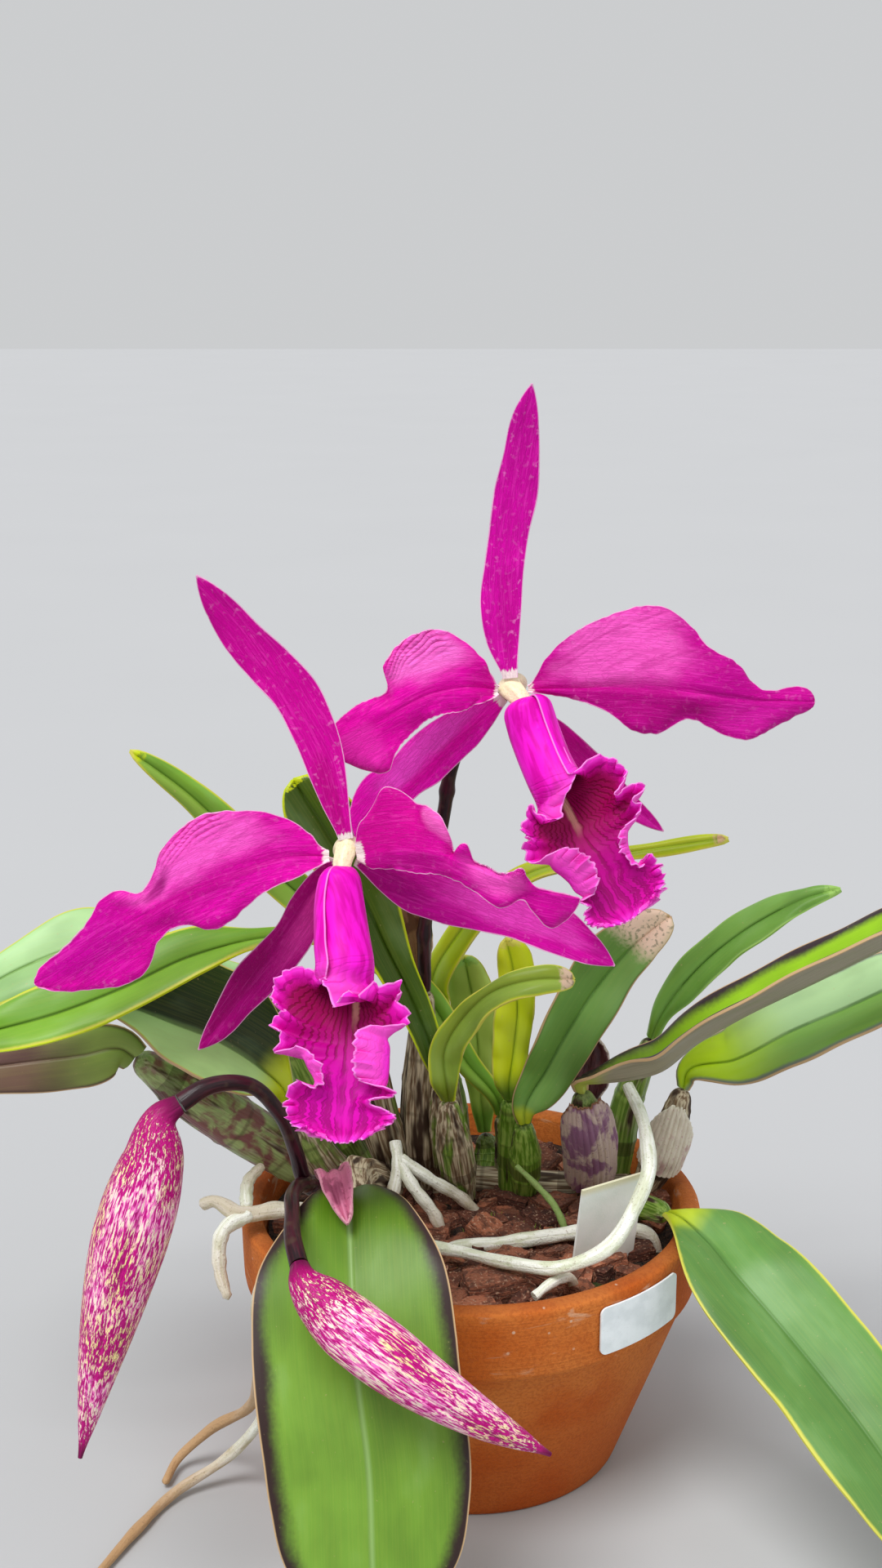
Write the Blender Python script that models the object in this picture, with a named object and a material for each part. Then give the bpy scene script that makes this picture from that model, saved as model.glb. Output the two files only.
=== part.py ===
"""A potted orchid: two flowers, two buds, sixteen leaves, roots and a low clay pot.

The origin is the middle of the pot's foot, +Z is up and the flowers look towards -Y.
"""
import math
import random

import bpy
import bmesh
from mathutils import Matrix, Vector, noise

# One millimetre in metres: the plant's points below are in millimetres.
MM = 0.001

# Gap kept between pieces that touch, and how a piece sets out from the end of the one that bears it.
GAP = 0.0003
SEAT_GAP = 0.0006
SEAT_RUN = 0.0045

# The pot, turned about the Z axis.
POT_HEIGHT = 0.080
POT_RIM_RADIUS = 0.070
POT_BAND_HEIGHT = 0.022
POT_BAND_FOOT_RADIUS = 0.0694
POT_NECK_RADIUS = 0.0672
POT_FOOT_RADIUS = 0.047
POT_FOOT_CHAMFER = 0.0012
POT_FLOOR = 0.007
POT_FLOOR_RADIUS = 0.041
POT_INNER_NECK_RADIUS = 0.0604
POT_INNER_RIM_RADIUS = 0.0638
POT_LIP_ROUND = 0.0015
POT_SIDES = 32
DRAIN_HOLES = 3
DRAIN_HOLE_RADIUS = 0.005
DRAIN_CIRCLE_RADIUS = 0.026

# The potting mix, filling the pot to just under the rim.
MIX_LEVEL = 0.071
MIX_RELIEF = 0.0018
MIX_RINGS = 4
BARK_CHUNKS = 40
BARK_CLEAR = 0.009
BARK_SIZE = (0.005, 0.0115)
BARK_SEED = 11

# The plant tag, standing in the mix.
TAG_SIZE = (0.022, 0.0008, 0.046)
TAG_FOOT = (0.0366, -0.0280, 0.056)
TAG_TURN = math.radians(32)
TAG_LEAN = math.radians(9)

# The label on the rim band.
LABEL_THICKNESS = 0.0006
LABEL_BOTTOM = 0.0615
LABEL_TOP = 0.0760
LABEL_START = math.radians(-60)
LABEL_END = math.radians(-34)
LABEL_CORNER = 0.003

# Thicknesses of the thin pieces.
LEAF_THICKNESS = 0.0018
TEPAL_THICKNESS = 0.0009
LIP_THICKNESS = 0.0007
SHEATH_THICKNESS = 0.0007

# The ways that the flowers and most of the leaves face.
LOW_FACING = (-0.05, -0.97, 0.20)
HIGH_FACING = (0.0, -0.97, 0.20)
VIEWER = (0.0, -0.90, 0.40)
UPWARD = (0.0, -0.60, 0.80)


def clear_scene():
    for item in list(bpy.data.objects):
        bpy.data.objects.remove(item, do_unlink=True)


def make_material(name, colour, roughness, metallic=0.0):
    material = bpy.data.materials.new(name)
    material.use_nodes = True
    shader = material.node_tree.nodes["Principled BSDF"]
    shader.inputs["Base Color"].default_value = (*colour, 1.0)
    shader.inputs["Roughness"].default_value = roughness
    shader.inputs["Metallic"].default_value = metallic
    return material


def add_object(name, verts, faces, material, smooth=True):
    mesh = bpy.data.meshes.new(name)
    mesh.from_pydata([tuple(v) for v in verts], [], faces)
    mesh.validate()
    work = bmesh.new()
    work.from_mesh(mesh)
    bmesh.ops.recalc_face_normals(work, faces=work.faces)
    if work.calc_volume(signed=True) < 0:
        bmesh.ops.reverse_faces(work, faces=work.faces)
    bmesh.ops.triangulate(work, faces=[f for f in work.faces if len(f.verts) > 4])
    work.to_mesh(mesh)
    work.free()
    item = bpy.data.objects.new(name, mesh)
    bpy.context.scene.collection.objects.link(item)
    if material is not None:
        mesh.materials.append(material)
    if smooth:
        mesh.shade_smooth()
        mesh.set_sharp_from_angle(angle=math.radians(50))
    return item


def joined(points, bearer):
    """Points of a piece that stands on the end of another, a small gap away from it."""
    end = bearer.at(1.0)
    along = bearer.tangent(1.0)
    first = (end + along * SEAT_GAP) / MM
    second = (end + along * SEAT_RUN) / MM
    return [first, second] + list(points)


class Path:
    """A smooth curve through a few points, measured along its length."""

    def __init__(self, points, unit=MM):
        knots = [Vector(p) * unit for p in points]
        spans = [(b - a).length for a, b in zip(knots, knots[1:])]
        ways = [(b - a) / span for a, b, span in zip(knots, knots[1:], spans)]
        turns = [ways[0]]
        for i in range(1, len(spans)):
            turns.append((ways[i - 1] * spans[i] + ways[i] * spans[i - 1]) / (spans[i - 1] + spans[i]))
        turns.append(ways[-1])
        steps = 24
        self.points = []
        for i, span in enumerate(spans):
            for k in range(steps):
                t = k / steps
                self.points.append(knots[i] * (2 * t ** 3 - 3 * t ** 2 + 1)
                                   + turns[i] * span * (t ** 3 - 2 * t ** 2 + t)
                                   + knots[i + 1] * (3 * t ** 2 - 2 * t ** 3)
                                   + turns[i + 1] * span * (t ** 3 - t ** 2))
        self.points.append(knots[-1])
        self.lengths = [0.0]
        for a, b in zip(self.points, self.points[1:]):
            self.lengths.append(self.lengths[-1] + (b - a).length)
        self.length = self.lengths[-1]

    def at(self, u):
        goal = u * self.length
        if goal <= 0.0:
            return self.points[0] + (self.points[1] - self.points[0]).normalized() * goal
        if goal >= self.length:
            return self.points[-1] + (self.points[-1] - self.points[-2]).normalized() * (goal - self.length)
        low, high = 0, len(self.lengths) - 1
        while high - low > 1:
            middle = (low + high) // 2
            if self.lengths[middle] <= goal:
                low = middle
            else:
                high = middle
        span = self.lengths[high] - self.lengths[low]
        return self.points[low].lerp(self.points[high], (goal - self.lengths[low]) / span)

    def tangent(self, u):
        step = 0.01
        return (self.at(min(1.0, u + step)) - self.at(max(0.0, u - step))).normalized()


def spread(values, u):
    """A smooth value at u from values spaced evenly over 0 to 1."""
    if not isinstance(values, (tuple, list)):
        return values
    place = min(max(u, 0.0), 1.0) * (len(values) - 1)
    i = min(int(place), len(values) - 2)
    t = place - i
    a = values[max(i - 1, 0)]
    b = values[i]
    c = values[i + 1]
    d = values[min(i + 2, len(values) - 1)]
    smooth = 0.5 * (2 * b + (c - a) * t + (2 * a - 5 * b + 4 * c - d) * t * t + (3 * b - a - 3 * c + d) * t ** 3)
    return min(max(smooth, min(b, c)), max(b, c))


def sheet_point(path, facing, plus, minus, u, v, roll=0.0, fold=0.0, wave=None):
    """A point of a leaf, petal or sheath: u runs along it and v from -1 to 1 across it."""
    centre = path.at(u)
    along = path.tangent(u)
    normal = Vector(facing)
    normal = (normal - normal.dot(along) * along).normalized()
    side = along.cross(normal)
    half = spread(plus if v >= 0 else minus, u) * MM
    turn = math.radians(spread(roll, u))
    if turn > 0.02:
        radius = half / turn
        across = radius * math.sin(turn * abs(v))
        rise = radius * (1 - math.cos(turn * abs(v)))
    else:
        across = half * abs(v)
        rise = 0.0
    lean = math.radians(spread(fold, u))
    across, rise = (across * math.cos(lean) - rise * math.sin(lean),
                    across * math.sin(lean) + rise * math.cos(lean))
    if wave is not None:
        rise += wave(u, v)
    return centre + side * (across if v >= 0 else -across) + normal * rise


def thicken(grid, thickness):
    """Front and back skins with the same triangles, joined by an edge strip."""
    rows = len(grid)
    columns = len(grid[0])
    front = []
    back = []
    for i in range(rows):
        for j in range(columns):
            along = grid[min(i + 1, rows - 1)][j] - grid[max(i - 1, 0)][j]
            across = grid[i][min(j + 1, columns - 1)] - grid[i][max(j - 1, 0)]
            normal = along.cross(across).normalized() * (thickness / 2)
            front.append(grid[i][j] + normal)
            back.append(grid[i][j] - normal)
    count = rows * columns
    faces = []
    for i in range(rows - 1):
        for j in range(columns - 1):
            a = i * columns + j
            b = a + 1
            c = a + columns + 1
            d = a + columns
            if (i + j) % 2:
                faces += [(a, b, c), (a, c, d)]
                faces += [(c + count, b + count, a + count), (d + count, c + count, a + count)]
            else:
                faces += [(a, b, d), (b, c, d)]
                faces += [(d + count, b + count, a + count), (d + count, c + count, b + count)]
    ring = [j for j in range(columns)]
    ring += [i * columns + columns - 1 for i in range(1, rows)]
    ring += [(rows - 1) * columns + j for j in range(columns - 2, -1, -1)]
    ring += [i * columns for i in range(rows - 2, 0, -1)]
    for k, a in enumerate(ring):
        b = ring[(k + 1) % len(ring)]
        faces += [(a, b + count, b), (a, a + count, b + count)]
    return front + back, faces


def sheet(name, points, facing, plus, minus, material, thickness, rows=10, columns=4, **shape):
    path = Path(points)
    grid = []
    for i in range(rows + 1):
        u = i / rows
        grid.append([sheet_point(path, facing, plus, minus, u, -1 + 2 * j / columns, **shape)
                     for j in range(columns + 1)])
    verts, faces = thicken(grid, thickness)
    return add_object(name, verts, faces, material)


def tube_mesh(points, radii, sides, grow=0.0, rings=None):
    """A round tube or bulb with flat ends; grow makes it that much fatter and longer."""
    path = Path(points)
    count = rings or max(4, int(path.length / ROOT_STEP))
    start = -grow / path.length
    end = 1 + grow / path.length
    verts = []
    faces = []
    along = path.tangent(0.0)
    side = along.orthogonal().normalized()
    for i in range(count + 1):
        u = start + (end - start) * i / count
        centre = path.at(u)
        along = path.tangent(min(max(u, 0.0), 1.0))
        side = (side - side.dot(along) * along).normalized()
        other = along.cross(side)
        radius = spread(radii, u) * MM + grow
        for k in range(sides):
            angle = 2 * math.pi * k / sides
            verts.append(centre + side * (radius * math.cos(angle)) + other * (radius * math.sin(angle)))
    for i in range(count):
        for k in range(sides):
            a = i * sides + k
            b = i * sides + (k + 1) % sides
            faces.append((a, b, b + sides, a + sides))
    faces.append(tuple(range(sides))[::-1])
    faces.append(tuple(count * sides + k for k in range(sides)))
    return verts, faces


def tube(name, points, radii, sides, material, grow=0.0, rings=None):
    verts, faces = tube_mesh(points, radii, sides, grow, rings)
    return add_object(name, verts, faces, material)


def apply_boolean(target, tools, operation, solver="EXACT"):
    """Joins or cuts the target with a list of objects, which are then removed."""
    group = bpy.data.collections.new("tools")
    bpy.context.scene.collection.children.link(group)
    for tool in tools:
        group.objects.link(tool)
        bpy.context.scene.collection.objects.unlink(tool)
    modifier = target.modifiers.new("join", "BOOLEAN")
    modifier.operation = operation
    modifier.operand_type = "COLLECTION"
    modifier.collection = group
    modifier.solver = solver
    bpy.context.view_layer.update()
    evaluated = target.evaluated_get(bpy.context.evaluated_depsgraph_get())
    mesh = bpy.data.meshes.new_from_object(evaluated)
    material = target.data.materials[0] if target.data.materials else None
    target.modifiers.clear()
    target.data = mesh
    mesh.materials.clear()
    if material is not None:
        mesh.materials.append(material)
    for tool in tools:
        bpy.data.objects.remove(tool, do_unlink=True)
    bpy.data.collections.remove(group)


def turned(name, profile, sides, material):
    """A solid turned about Z from a closed profile of radius and height."""
    verts = []
    rings = []
    for radius, height in profile:
        if radius < 1e-6:
            rings.append([len(verts)])
            verts.append(Vector((0, 0, height)))
        else:
            rings.append(list(range(len(verts), len(verts) + sides)))
            for k in range(sides):
                angle = 2 * math.pi * k / sides
                verts.append(Vector((radius * math.cos(angle), radius * math.sin(angle), height)))
    faces = []
    for low, high in zip(rings, rings[1:]):
        for k in range(sides):
            n = (k + 1) % sides
            if len(low) == 1:
                faces.append((low[0], high[n], high[k]))
            elif len(high) == 1:
                faces.append((low[k], low[n], high[0]))
            else:
                faces.append((low[k], low[n], high[n], high[k]))
    return add_object(name, verts, faces, material)


def inner_radius(height):
    """Radius of the pot's inner wall at a height."""
    neck = POT_HEIGHT - POT_BAND_HEIGHT
    if height < neck:
        part = (height - POT_FLOOR) / (neck - POT_FLOOR)
        return POT_FLOOR_RADIUS + part * (POT_INNER_NECK_RADIUS - POT_FLOOR_RADIUS)
    part = (height - neck) / POT_BAND_HEIGHT
    return POT_INNER_NECK_RADIUS + part * (POT_INNER_RIM_RADIUS - POT_INNER_NECK_RADIUS)


def make_pot(material):
    neck = POT_HEIGHT - POT_BAND_HEIGHT
    profile = [
        (0.0, 0.0),
        (POT_FOOT_RADIUS - POT_FOOT_CHAMFER, 0.0),
        (POT_FOOT_RADIUS, POT_FOOT_CHAMFER),
        (POT_NECK_RADIUS, neck - POT_LIP_ROUND),
        (POT_BAND_FOOT_RADIUS - POT_LIP_ROUND / 2, neck - POT_LIP_ROUND / 3),
        (POT_BAND_FOOT_RADIUS, neck + POT_LIP_ROUND),
        (POT_RIM_RADIUS, POT_HEIGHT - POT_LIP_ROUND),
        (POT_RIM_RADIUS - POT_LIP_ROUND, POT_HEIGHT),
        (POT_INNER_RIM_RADIUS + POT_LIP_ROUND, POT_HEIGHT),
        (POT_INNER_RIM_RADIUS, POT_HEIGHT - POT_LIP_ROUND),
        (POT_INNER_NECK_RADIUS, neck),
        (POT_FLOOR_RADIUS, POT_FLOOR),
        (0.0, POT_FLOOR),
    ]
    pot = turned("pot", profile, POT_SIDES, material)
    holes = []
    for k in range(DRAIN_HOLES):
        angle = math.radians(30) + 2 * math.pi * k / DRAIN_HOLES
        middle = (DRAIN_CIRCLE_RADIUS * math.cos(angle), DRAIN_CIRCLE_RADIUS * math.sin(angle))
        bottom = (middle[0], middle[1], -POT_FLOOR)
        top = (middle[0], middle[1], 2 * POT_FLOOR)
        verts, faces = tube_mesh([Vector(bottom) / MM, Vector(top) / MM], DRAIN_HOLE_RADIUS / MM, 10, rings=1)
        holes.append(add_object("hole", verts, faces, None))
    apply_boolean(pot, holes, "DIFFERENCE")
    pot.data.shade_smooth()
    pot.data.set_sharp_from_angle(angle=math.radians(40))
    return pot


def bark_chunk(place, size, turn):
    """One rough block of bark, a box with moved corners."""
    corners = []
    for x in (-1, 1):
        for y in (-1, 1):
            for z in (-1, 1):
                corners.append(Vector((x * size[0], y * size[1], z * size[2])) * random.uniform(0.75, 1.0))
    work = bmesh.new()
    for corner in corners:
        work.verts.new(turn @ corner + place)
    bmesh.ops.convex_hull(work, input=work.verts)
    mesh = bpy.data.meshes.new("bark")
    work.to_mesh(mesh)
    work.free()
    chunk = bpy.data.objects.new("bark", mesh)
    bpy.context.scene.collection.objects.link(chunk)
    return chunk


def mix_height(x, y):
    bump = noise.noise(Vector((x * 60, y * 60, 3.1))) + 0.5 * noise.noise(Vector((x * 150, y * 150, 7.7)))
    return MIX_LEVEL + MIX_RELIEF * bump


def make_mix(material):
    """Soil that fills the pot, with bark blocks sunk into its top."""
    neck = POT_HEIGHT - POT_BAND_HEIGHT
    verts = [Vector((0, 0, POT_FLOOR + GAP))]
    rings = []
    levels = [(inner_radius(POT_FLOOR + GAP), POT_FLOOR + GAP), (inner_radius(neck), neck),
              (inner_radius(MIX_LEVEL), MIX_LEVEL)]
    for radius, height in levels:
        ring = []
        for k in range(POT_SIDES):
            angle = 2 * math.pi * k / POT_SIDES
            reach = radius - 2 * GAP
            ring.append(len(verts))
            verts.append(Vector((reach * math.cos(angle), reach * math.sin(angle), height)))
        rings.append(ring)
    for i in range(MIX_RINGS - 1, 0, -1):
        ring = []
        for k in range(POT_SIDES):
            angle = 2 * math.pi * k / POT_SIDES
            reach = (inner_radius(MIX_LEVEL) - 2 * GAP) * i / MIX_RINGS
            x = reach * math.cos(angle)
            y = reach * math.sin(angle)
            ring.append(len(verts))
            verts.append(Vector((x, y, mix_height(x, y))))
        rings.append(ring)
    faces = []
    for k in range(POT_SIDES):
        faces.append((0, rings[0][(k + 1) % POT_SIDES], rings[0][k]))
    for low, high in zip(rings, rings[1:]):
        for k in range(POT_SIDES):
            n = (k + 1) % POT_SIDES
            faces.append((low[k], low[n], high[n]))
            faces.append((low[k], high[n], high[k]))
    top = len(verts)
    verts.append(Vector((0, 0, mix_height(0, 0))))
    for k in range(POT_SIDES):
        faces.append((rings[-1][k], rings[-1][(k + 1) % POT_SIDES], top))
    mix = add_object("potting_mix", verts, faces, material, smooth=False)
    random.seed(BARK_SEED)
    chunks = []
    golden = math.pi * (3 - math.sqrt(5))
    for k in range(BARK_CHUNKS):
        size = [random.uniform(*BARK_SIZE) for _ in range(3)]
        size[2] *= 0.55
        reach = (inner_radius(MIX_LEVEL) - 0.013) * math.sqrt((k + 0.5) / BARK_CHUNKS)
        angle = k * golden
        place = Vector((reach * math.cos(angle), reach * math.sin(angle), MIX_LEVEL - random.uniform(0.0, 0.003)))
        turn = Matrix.Rotation(random.uniform(0, math.tau), 3, "Z")
        turn = turn @ Matrix.Rotation(random.uniform(-0.3, 0.3), 3, "X")
        chunk = bark_chunk(place, size, turn)
        crowded = any((Vector(points[0]) * MM - place).xy.length < BARK_CLEAR for points, _ in BULBS.values())
        if crowded:
            bpy.data.objects.remove(chunk, do_unlink=True)
        else:
            chunks.append(chunk)
    apply_boolean(mix, chunks, "UNION")
    return mix


def make_tag(material):
    wide, thick, tall = TAG_SIZE
    cut = wide * 0.18
    outline = [(-wide / 2 + cut, 0), (wide / 2 - cut, 0), (wide / 2, cut * 1.6), (wide / 2, tall), (-wide / 2, tall),
               (-wide / 2, cut * 1.6)]
    place = Matrix.Translation(TAG_FOOT) @ Matrix.Rotation(TAG_TURN, 4, "Z") @ Matrix.Rotation(TAG_LEAN, 4, "X")

    def build(name, grow, fill):
        verts = []
        for side in (-1, 1):
            for x, z in outline:
                far_x = x + math.copysign(grow, x)
                far_z = z + (grow if z > tall / 2 else -grow)
                verts.append(place @ Vector((far_x, side * (thick / 2 + grow), far_z)))
        count = len(outline)
        faces = [tuple(range(count))[::-1], tuple(range(count, 2 * count))]
        for k in range(count):
            n = (k + 1) % count
            faces.append((k, n, n + count, k + count))
        return add_object(name, verts, faces, fill, smooth=False)

    return build("plant_tag", 0.0, material), build("slot", GAP, None)


def make_label(material):
    """A thin rounded plate that follows the rim band."""
    columns = 12
    rows = 2
    grid = []
    reach = POT_RIM_RADIUS + GAP + LABEL_THICKNESS / 2
    width = (LABEL_END - LABEL_START) * reach
    for i in range(rows + 1):
        row = []
        for j in range(columns + 1):
            x = width * (j / columns - 0.5)
            edge = max(0.0, abs(x) - (width / 2 - LABEL_CORNER)) / LABEL_CORNER
            inset = LABEL_CORNER * (1 - math.sqrt(max(0.0, 1 - edge * edge)))
            low = LABEL_BOTTOM + inset * 0.8
            high = LABEL_TOP - inset * 0.8
            angle = (LABEL_START + LABEL_END) / 2 + x / reach
            row.append(Vector((reach * math.cos(angle), reach * math.sin(angle), low + (high - low) * i / rows)))
        grid.append(row)
    verts, faces = thicken(grid, LABEL_THICKNESS)
    return add_object("pot_label", verts, faces, material)


# Leaves: points along the middle, half widths on both sides from base to tip, and the way they face.
LEAVES = {
    "leaf_01": dict(bulb="front", points=[(-33, -60, 111), (-33, -78, 115), (-32, -95, 106), (-30, -111, 85),
                                          (-27, -120, 65), (-26, -127, 42), (-25, -130, 23)],
                    plus=(2, 6, 14, 24, 26, 26, 25, 20, 3), minus=(2, 7, 16, 24, 26, 26, 25, 20, 3),
                    facing=UPWARD, fold=8),
    "leaf_02": dict(bulb="right_low", points=[(67, -34, 83), (74, -48, 79), (84, -60, 71), (94, -71, 62),
                                              (105, -86, 52), (116, -99, 39), (127, -109, 23)],
                    plus=(2, 10, 15, 17, 17, 18, 17, 13, 2), minus=(2, 14, 18, 19, 19, 18, 16, 11, 2),
                    facing=(0.1, -0.6, 0.8), fold=12),
    "leaf_03": dict(bulb="behind_lip", points=[(-47, -14, 168), (-62, -20, 169), (-80, -26, 166), (-98, -32, 159),
                                               (-116, -36, 153), (-132, -38, 149), (-150, -38, 144)],
                    plus=(2, 3, 4.5, 9, 10, 9.5, 9.5, 6.5, 1), minus=(2, 2.5, 3, 7.5, 9, 9.5, 9.5, 7, 1),
                    facing=UPWARD, fold=14),
    "leaf_04": dict(bulb="left_low", points=[(-62, -12, 126), (-73, -16, 136), (-87, -20, 144), (-100, -24, 151),
                                             (-112, -27, 156)],
                    plus=(2, 9, 18, 22, 22, 19, 15, 9, 1), minus=(2, 7, 13, 17, 17, 14, 8, 4, 1),
                    facing=UPWARD, fold=16),
    "leaf_05": dict(bulb="far_left", points=[(-79, 18, 146), (-98, 15, 154), (-117, 11, 156), (-134, 7, 151),
                                             (-151, 4, 142), (-166, 2, 132)],
                    plus=(2, 4, 6, 9, 13, 10, 7, 4, 1), minus=(2, 5, 8, 11, 12, 11, 9, 6, 1),
                    facing=UPWARD, fold=12),
    "leaf_06": dict(bulb="left_mottled", points=[(-113, -19, 134), (-128, -19, 132), (-144, -19, 130),
                                                 (-164, -18, 127), (-184, -16, 123)],
                    plus=(5, 8.5, 8.5, 7.5, 6, 5, 4, 3, 1), minus=(5, 9, 9.5, 9, 8, 7, 5, 3, 1),
                    facing=(0, -1, 0.2), fold=10),
    "leaf_07": dict(bulb="centre_one", points=[(-1, 15, 117), (-14, 16, 139), (-31, 14, 155), (-51, 10, 173),
                                               (-67, 5, 190), (-82, 0, 207), (-98, -4, 221)],
                    plus=(2, 4, 4.5, 4.5, 5, 6, 6, 4.5, 1), minus=(2, 3.5, 4, 5, 6, 6, 5, 3.5, 1),
                    facing=VIEWER, fold=12),
    "leaf_08": dict(bulb="middle_left", points=[(-17, -4, 144), (-25, -3, 161), (-33, -2, 179), (-42, 0, 195),
                                                (-52, 2, 211)],
                    plus=(2, 3.5, 4.5, 5, 7, 8, 8.5, 8, 3), minus=(2, 4, 5, 6, 7, 8, 9, 9, 4),
                    facing=VIEWER, fold=10),
    "leaf_09": dict(bulb="middle_back", points=[(-12, 21, 139), (-4, 20, 156), (16, 18, 176), (38, 14, 183),
                                                (57, 11, 187), (76, 8, 191)],
                    plus=(2, 5, 6, 6, 5, 4, 3.5, 3, 1), minus=(2, 3, 4, 4, 4, 4, 3, 3, 1),
                    facing=(0, -0.5, 0.85), fold=12),
    "leaf_10": dict(bulb="centre_two", points=[(22, -3, 122), (30, -6, 139), (40, -9, 156), (49, -11, 167),
                                               (57, -12, 174)],
                    plus=(2, 7, 9, 9.5, 9.5, 9, 7.5, 6.5, 2), minus=(2, 5, 7, 8, 9, 10, 11, 8, 2),
                    facing=(0.2, -0.8, 0.4), fold=12),
    "leaf_11": dict(bulb="middle_front", points=[(-8, -12, 131), (-3, -16, 143), (7, -20, 154), (19, -22, 158),
                                                 (29, -22, 158)],
                    plus=(2, 4, 5.5, 6, 6, 5.5, 5.5, 4.5, 1), minus=(2, 4.5, 4.5, 4, 3.5, 3, 4, 4.5, 1),
                    facing=(0, -0.7, 0.7), fold=10),
    "leaf_12": dict(bulb="centre_three", points=[(13, 6, 124), (14, 5, 140), (12, 4, 154), (10, 3, 162)],
                    plus=(2, 4, 4.5, 4.5, 5, 5.5, 6.5, 6.5, 2), minus=(2, 5, 6.5, 7, 7.5, 6.5, 5, 4, 2),
                    facing=(0, -0.9, 0.3), fold=14),
    "leaf_13": dict(bulb="short_back", points=[(3, 29, 112), (1, 28, 132), (-2, 26, 148)],
                    plus=(2, 4, 4, 4, 5, 6, 7, 6, 2), minus=(2, 3, 4, 5.5, 6, 7, 7, 6.5, 2),
                    facing=(0, -0.9, 0.3), fold=8),
    "leaf_14": dict(bulb="right_back", points=[(63, 12, 141), (75, 9, 156), (88, 6, 167), (100, 4, 174),
                                               (109, 3, 177)],
                    plus=(2, 3, 5.5, 6.5, 6.5, 7, 6, 3.5, 1), minus=(2, 4, 5.5, 6, 6, 6.5, 5.5, 3.5, 1),
                    facing=UPWARD, fold=12),
    "leaf_15": dict(bulb="purple", points=[(38, -15, 124), (47, -17, 126), (54, -19, 129), (64, -22, 139),
                                           (75, -26, 148), (96, -34, 163), (112, -39, 174), (128, -43, 184),
                                           (145, -46, 194)],
                    plus=(2, 7, 8.5, 9.5, 10, 10, 9.5, 7, 1), minus=(2, 8, 10, 11, 12, 13, 13, 9, 1),
                    facing=(-0.4, 0.1, 0.9), fold=(15, 58, 42, 38, 36, 36, 34, 30, 25)),
    "leaf_16": dict(bulb="right", points=[(80, 2, 123), (95, -5, 135), (110, -11, 145), (125, -16, 155),
                                          (143, -20, 164)],
                    plus=(2, 7, 10.5, 12.5, 13.5, 12.5, 12, 9, 1), minus=(2, 9, 12, 11.5, 12, 12, 11.5, 8, 1),
                    facing=UPWARD, fold=16),
}


def leaf_wave(u, v):
    return 0.0007 * abs(v) ** 2 * math.sin(9.0 * u + 2.0 * v)


def make_leaves(material):
    for name, shape in LEAVES.items():
        wide = name in ("leaf_01", "leaf_02")
        points = joined(shape["points"], Path(BULBS[shape["bulb"]][0]))
        sheet(name, points, shape["facing"], shape["plus"], shape["minus"], material, LEAF_THICKNESS,
              rows=12 if wide else 8, columns=6 if wide else 4, fold=shape["fold"], wave=leaf_wave)


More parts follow.
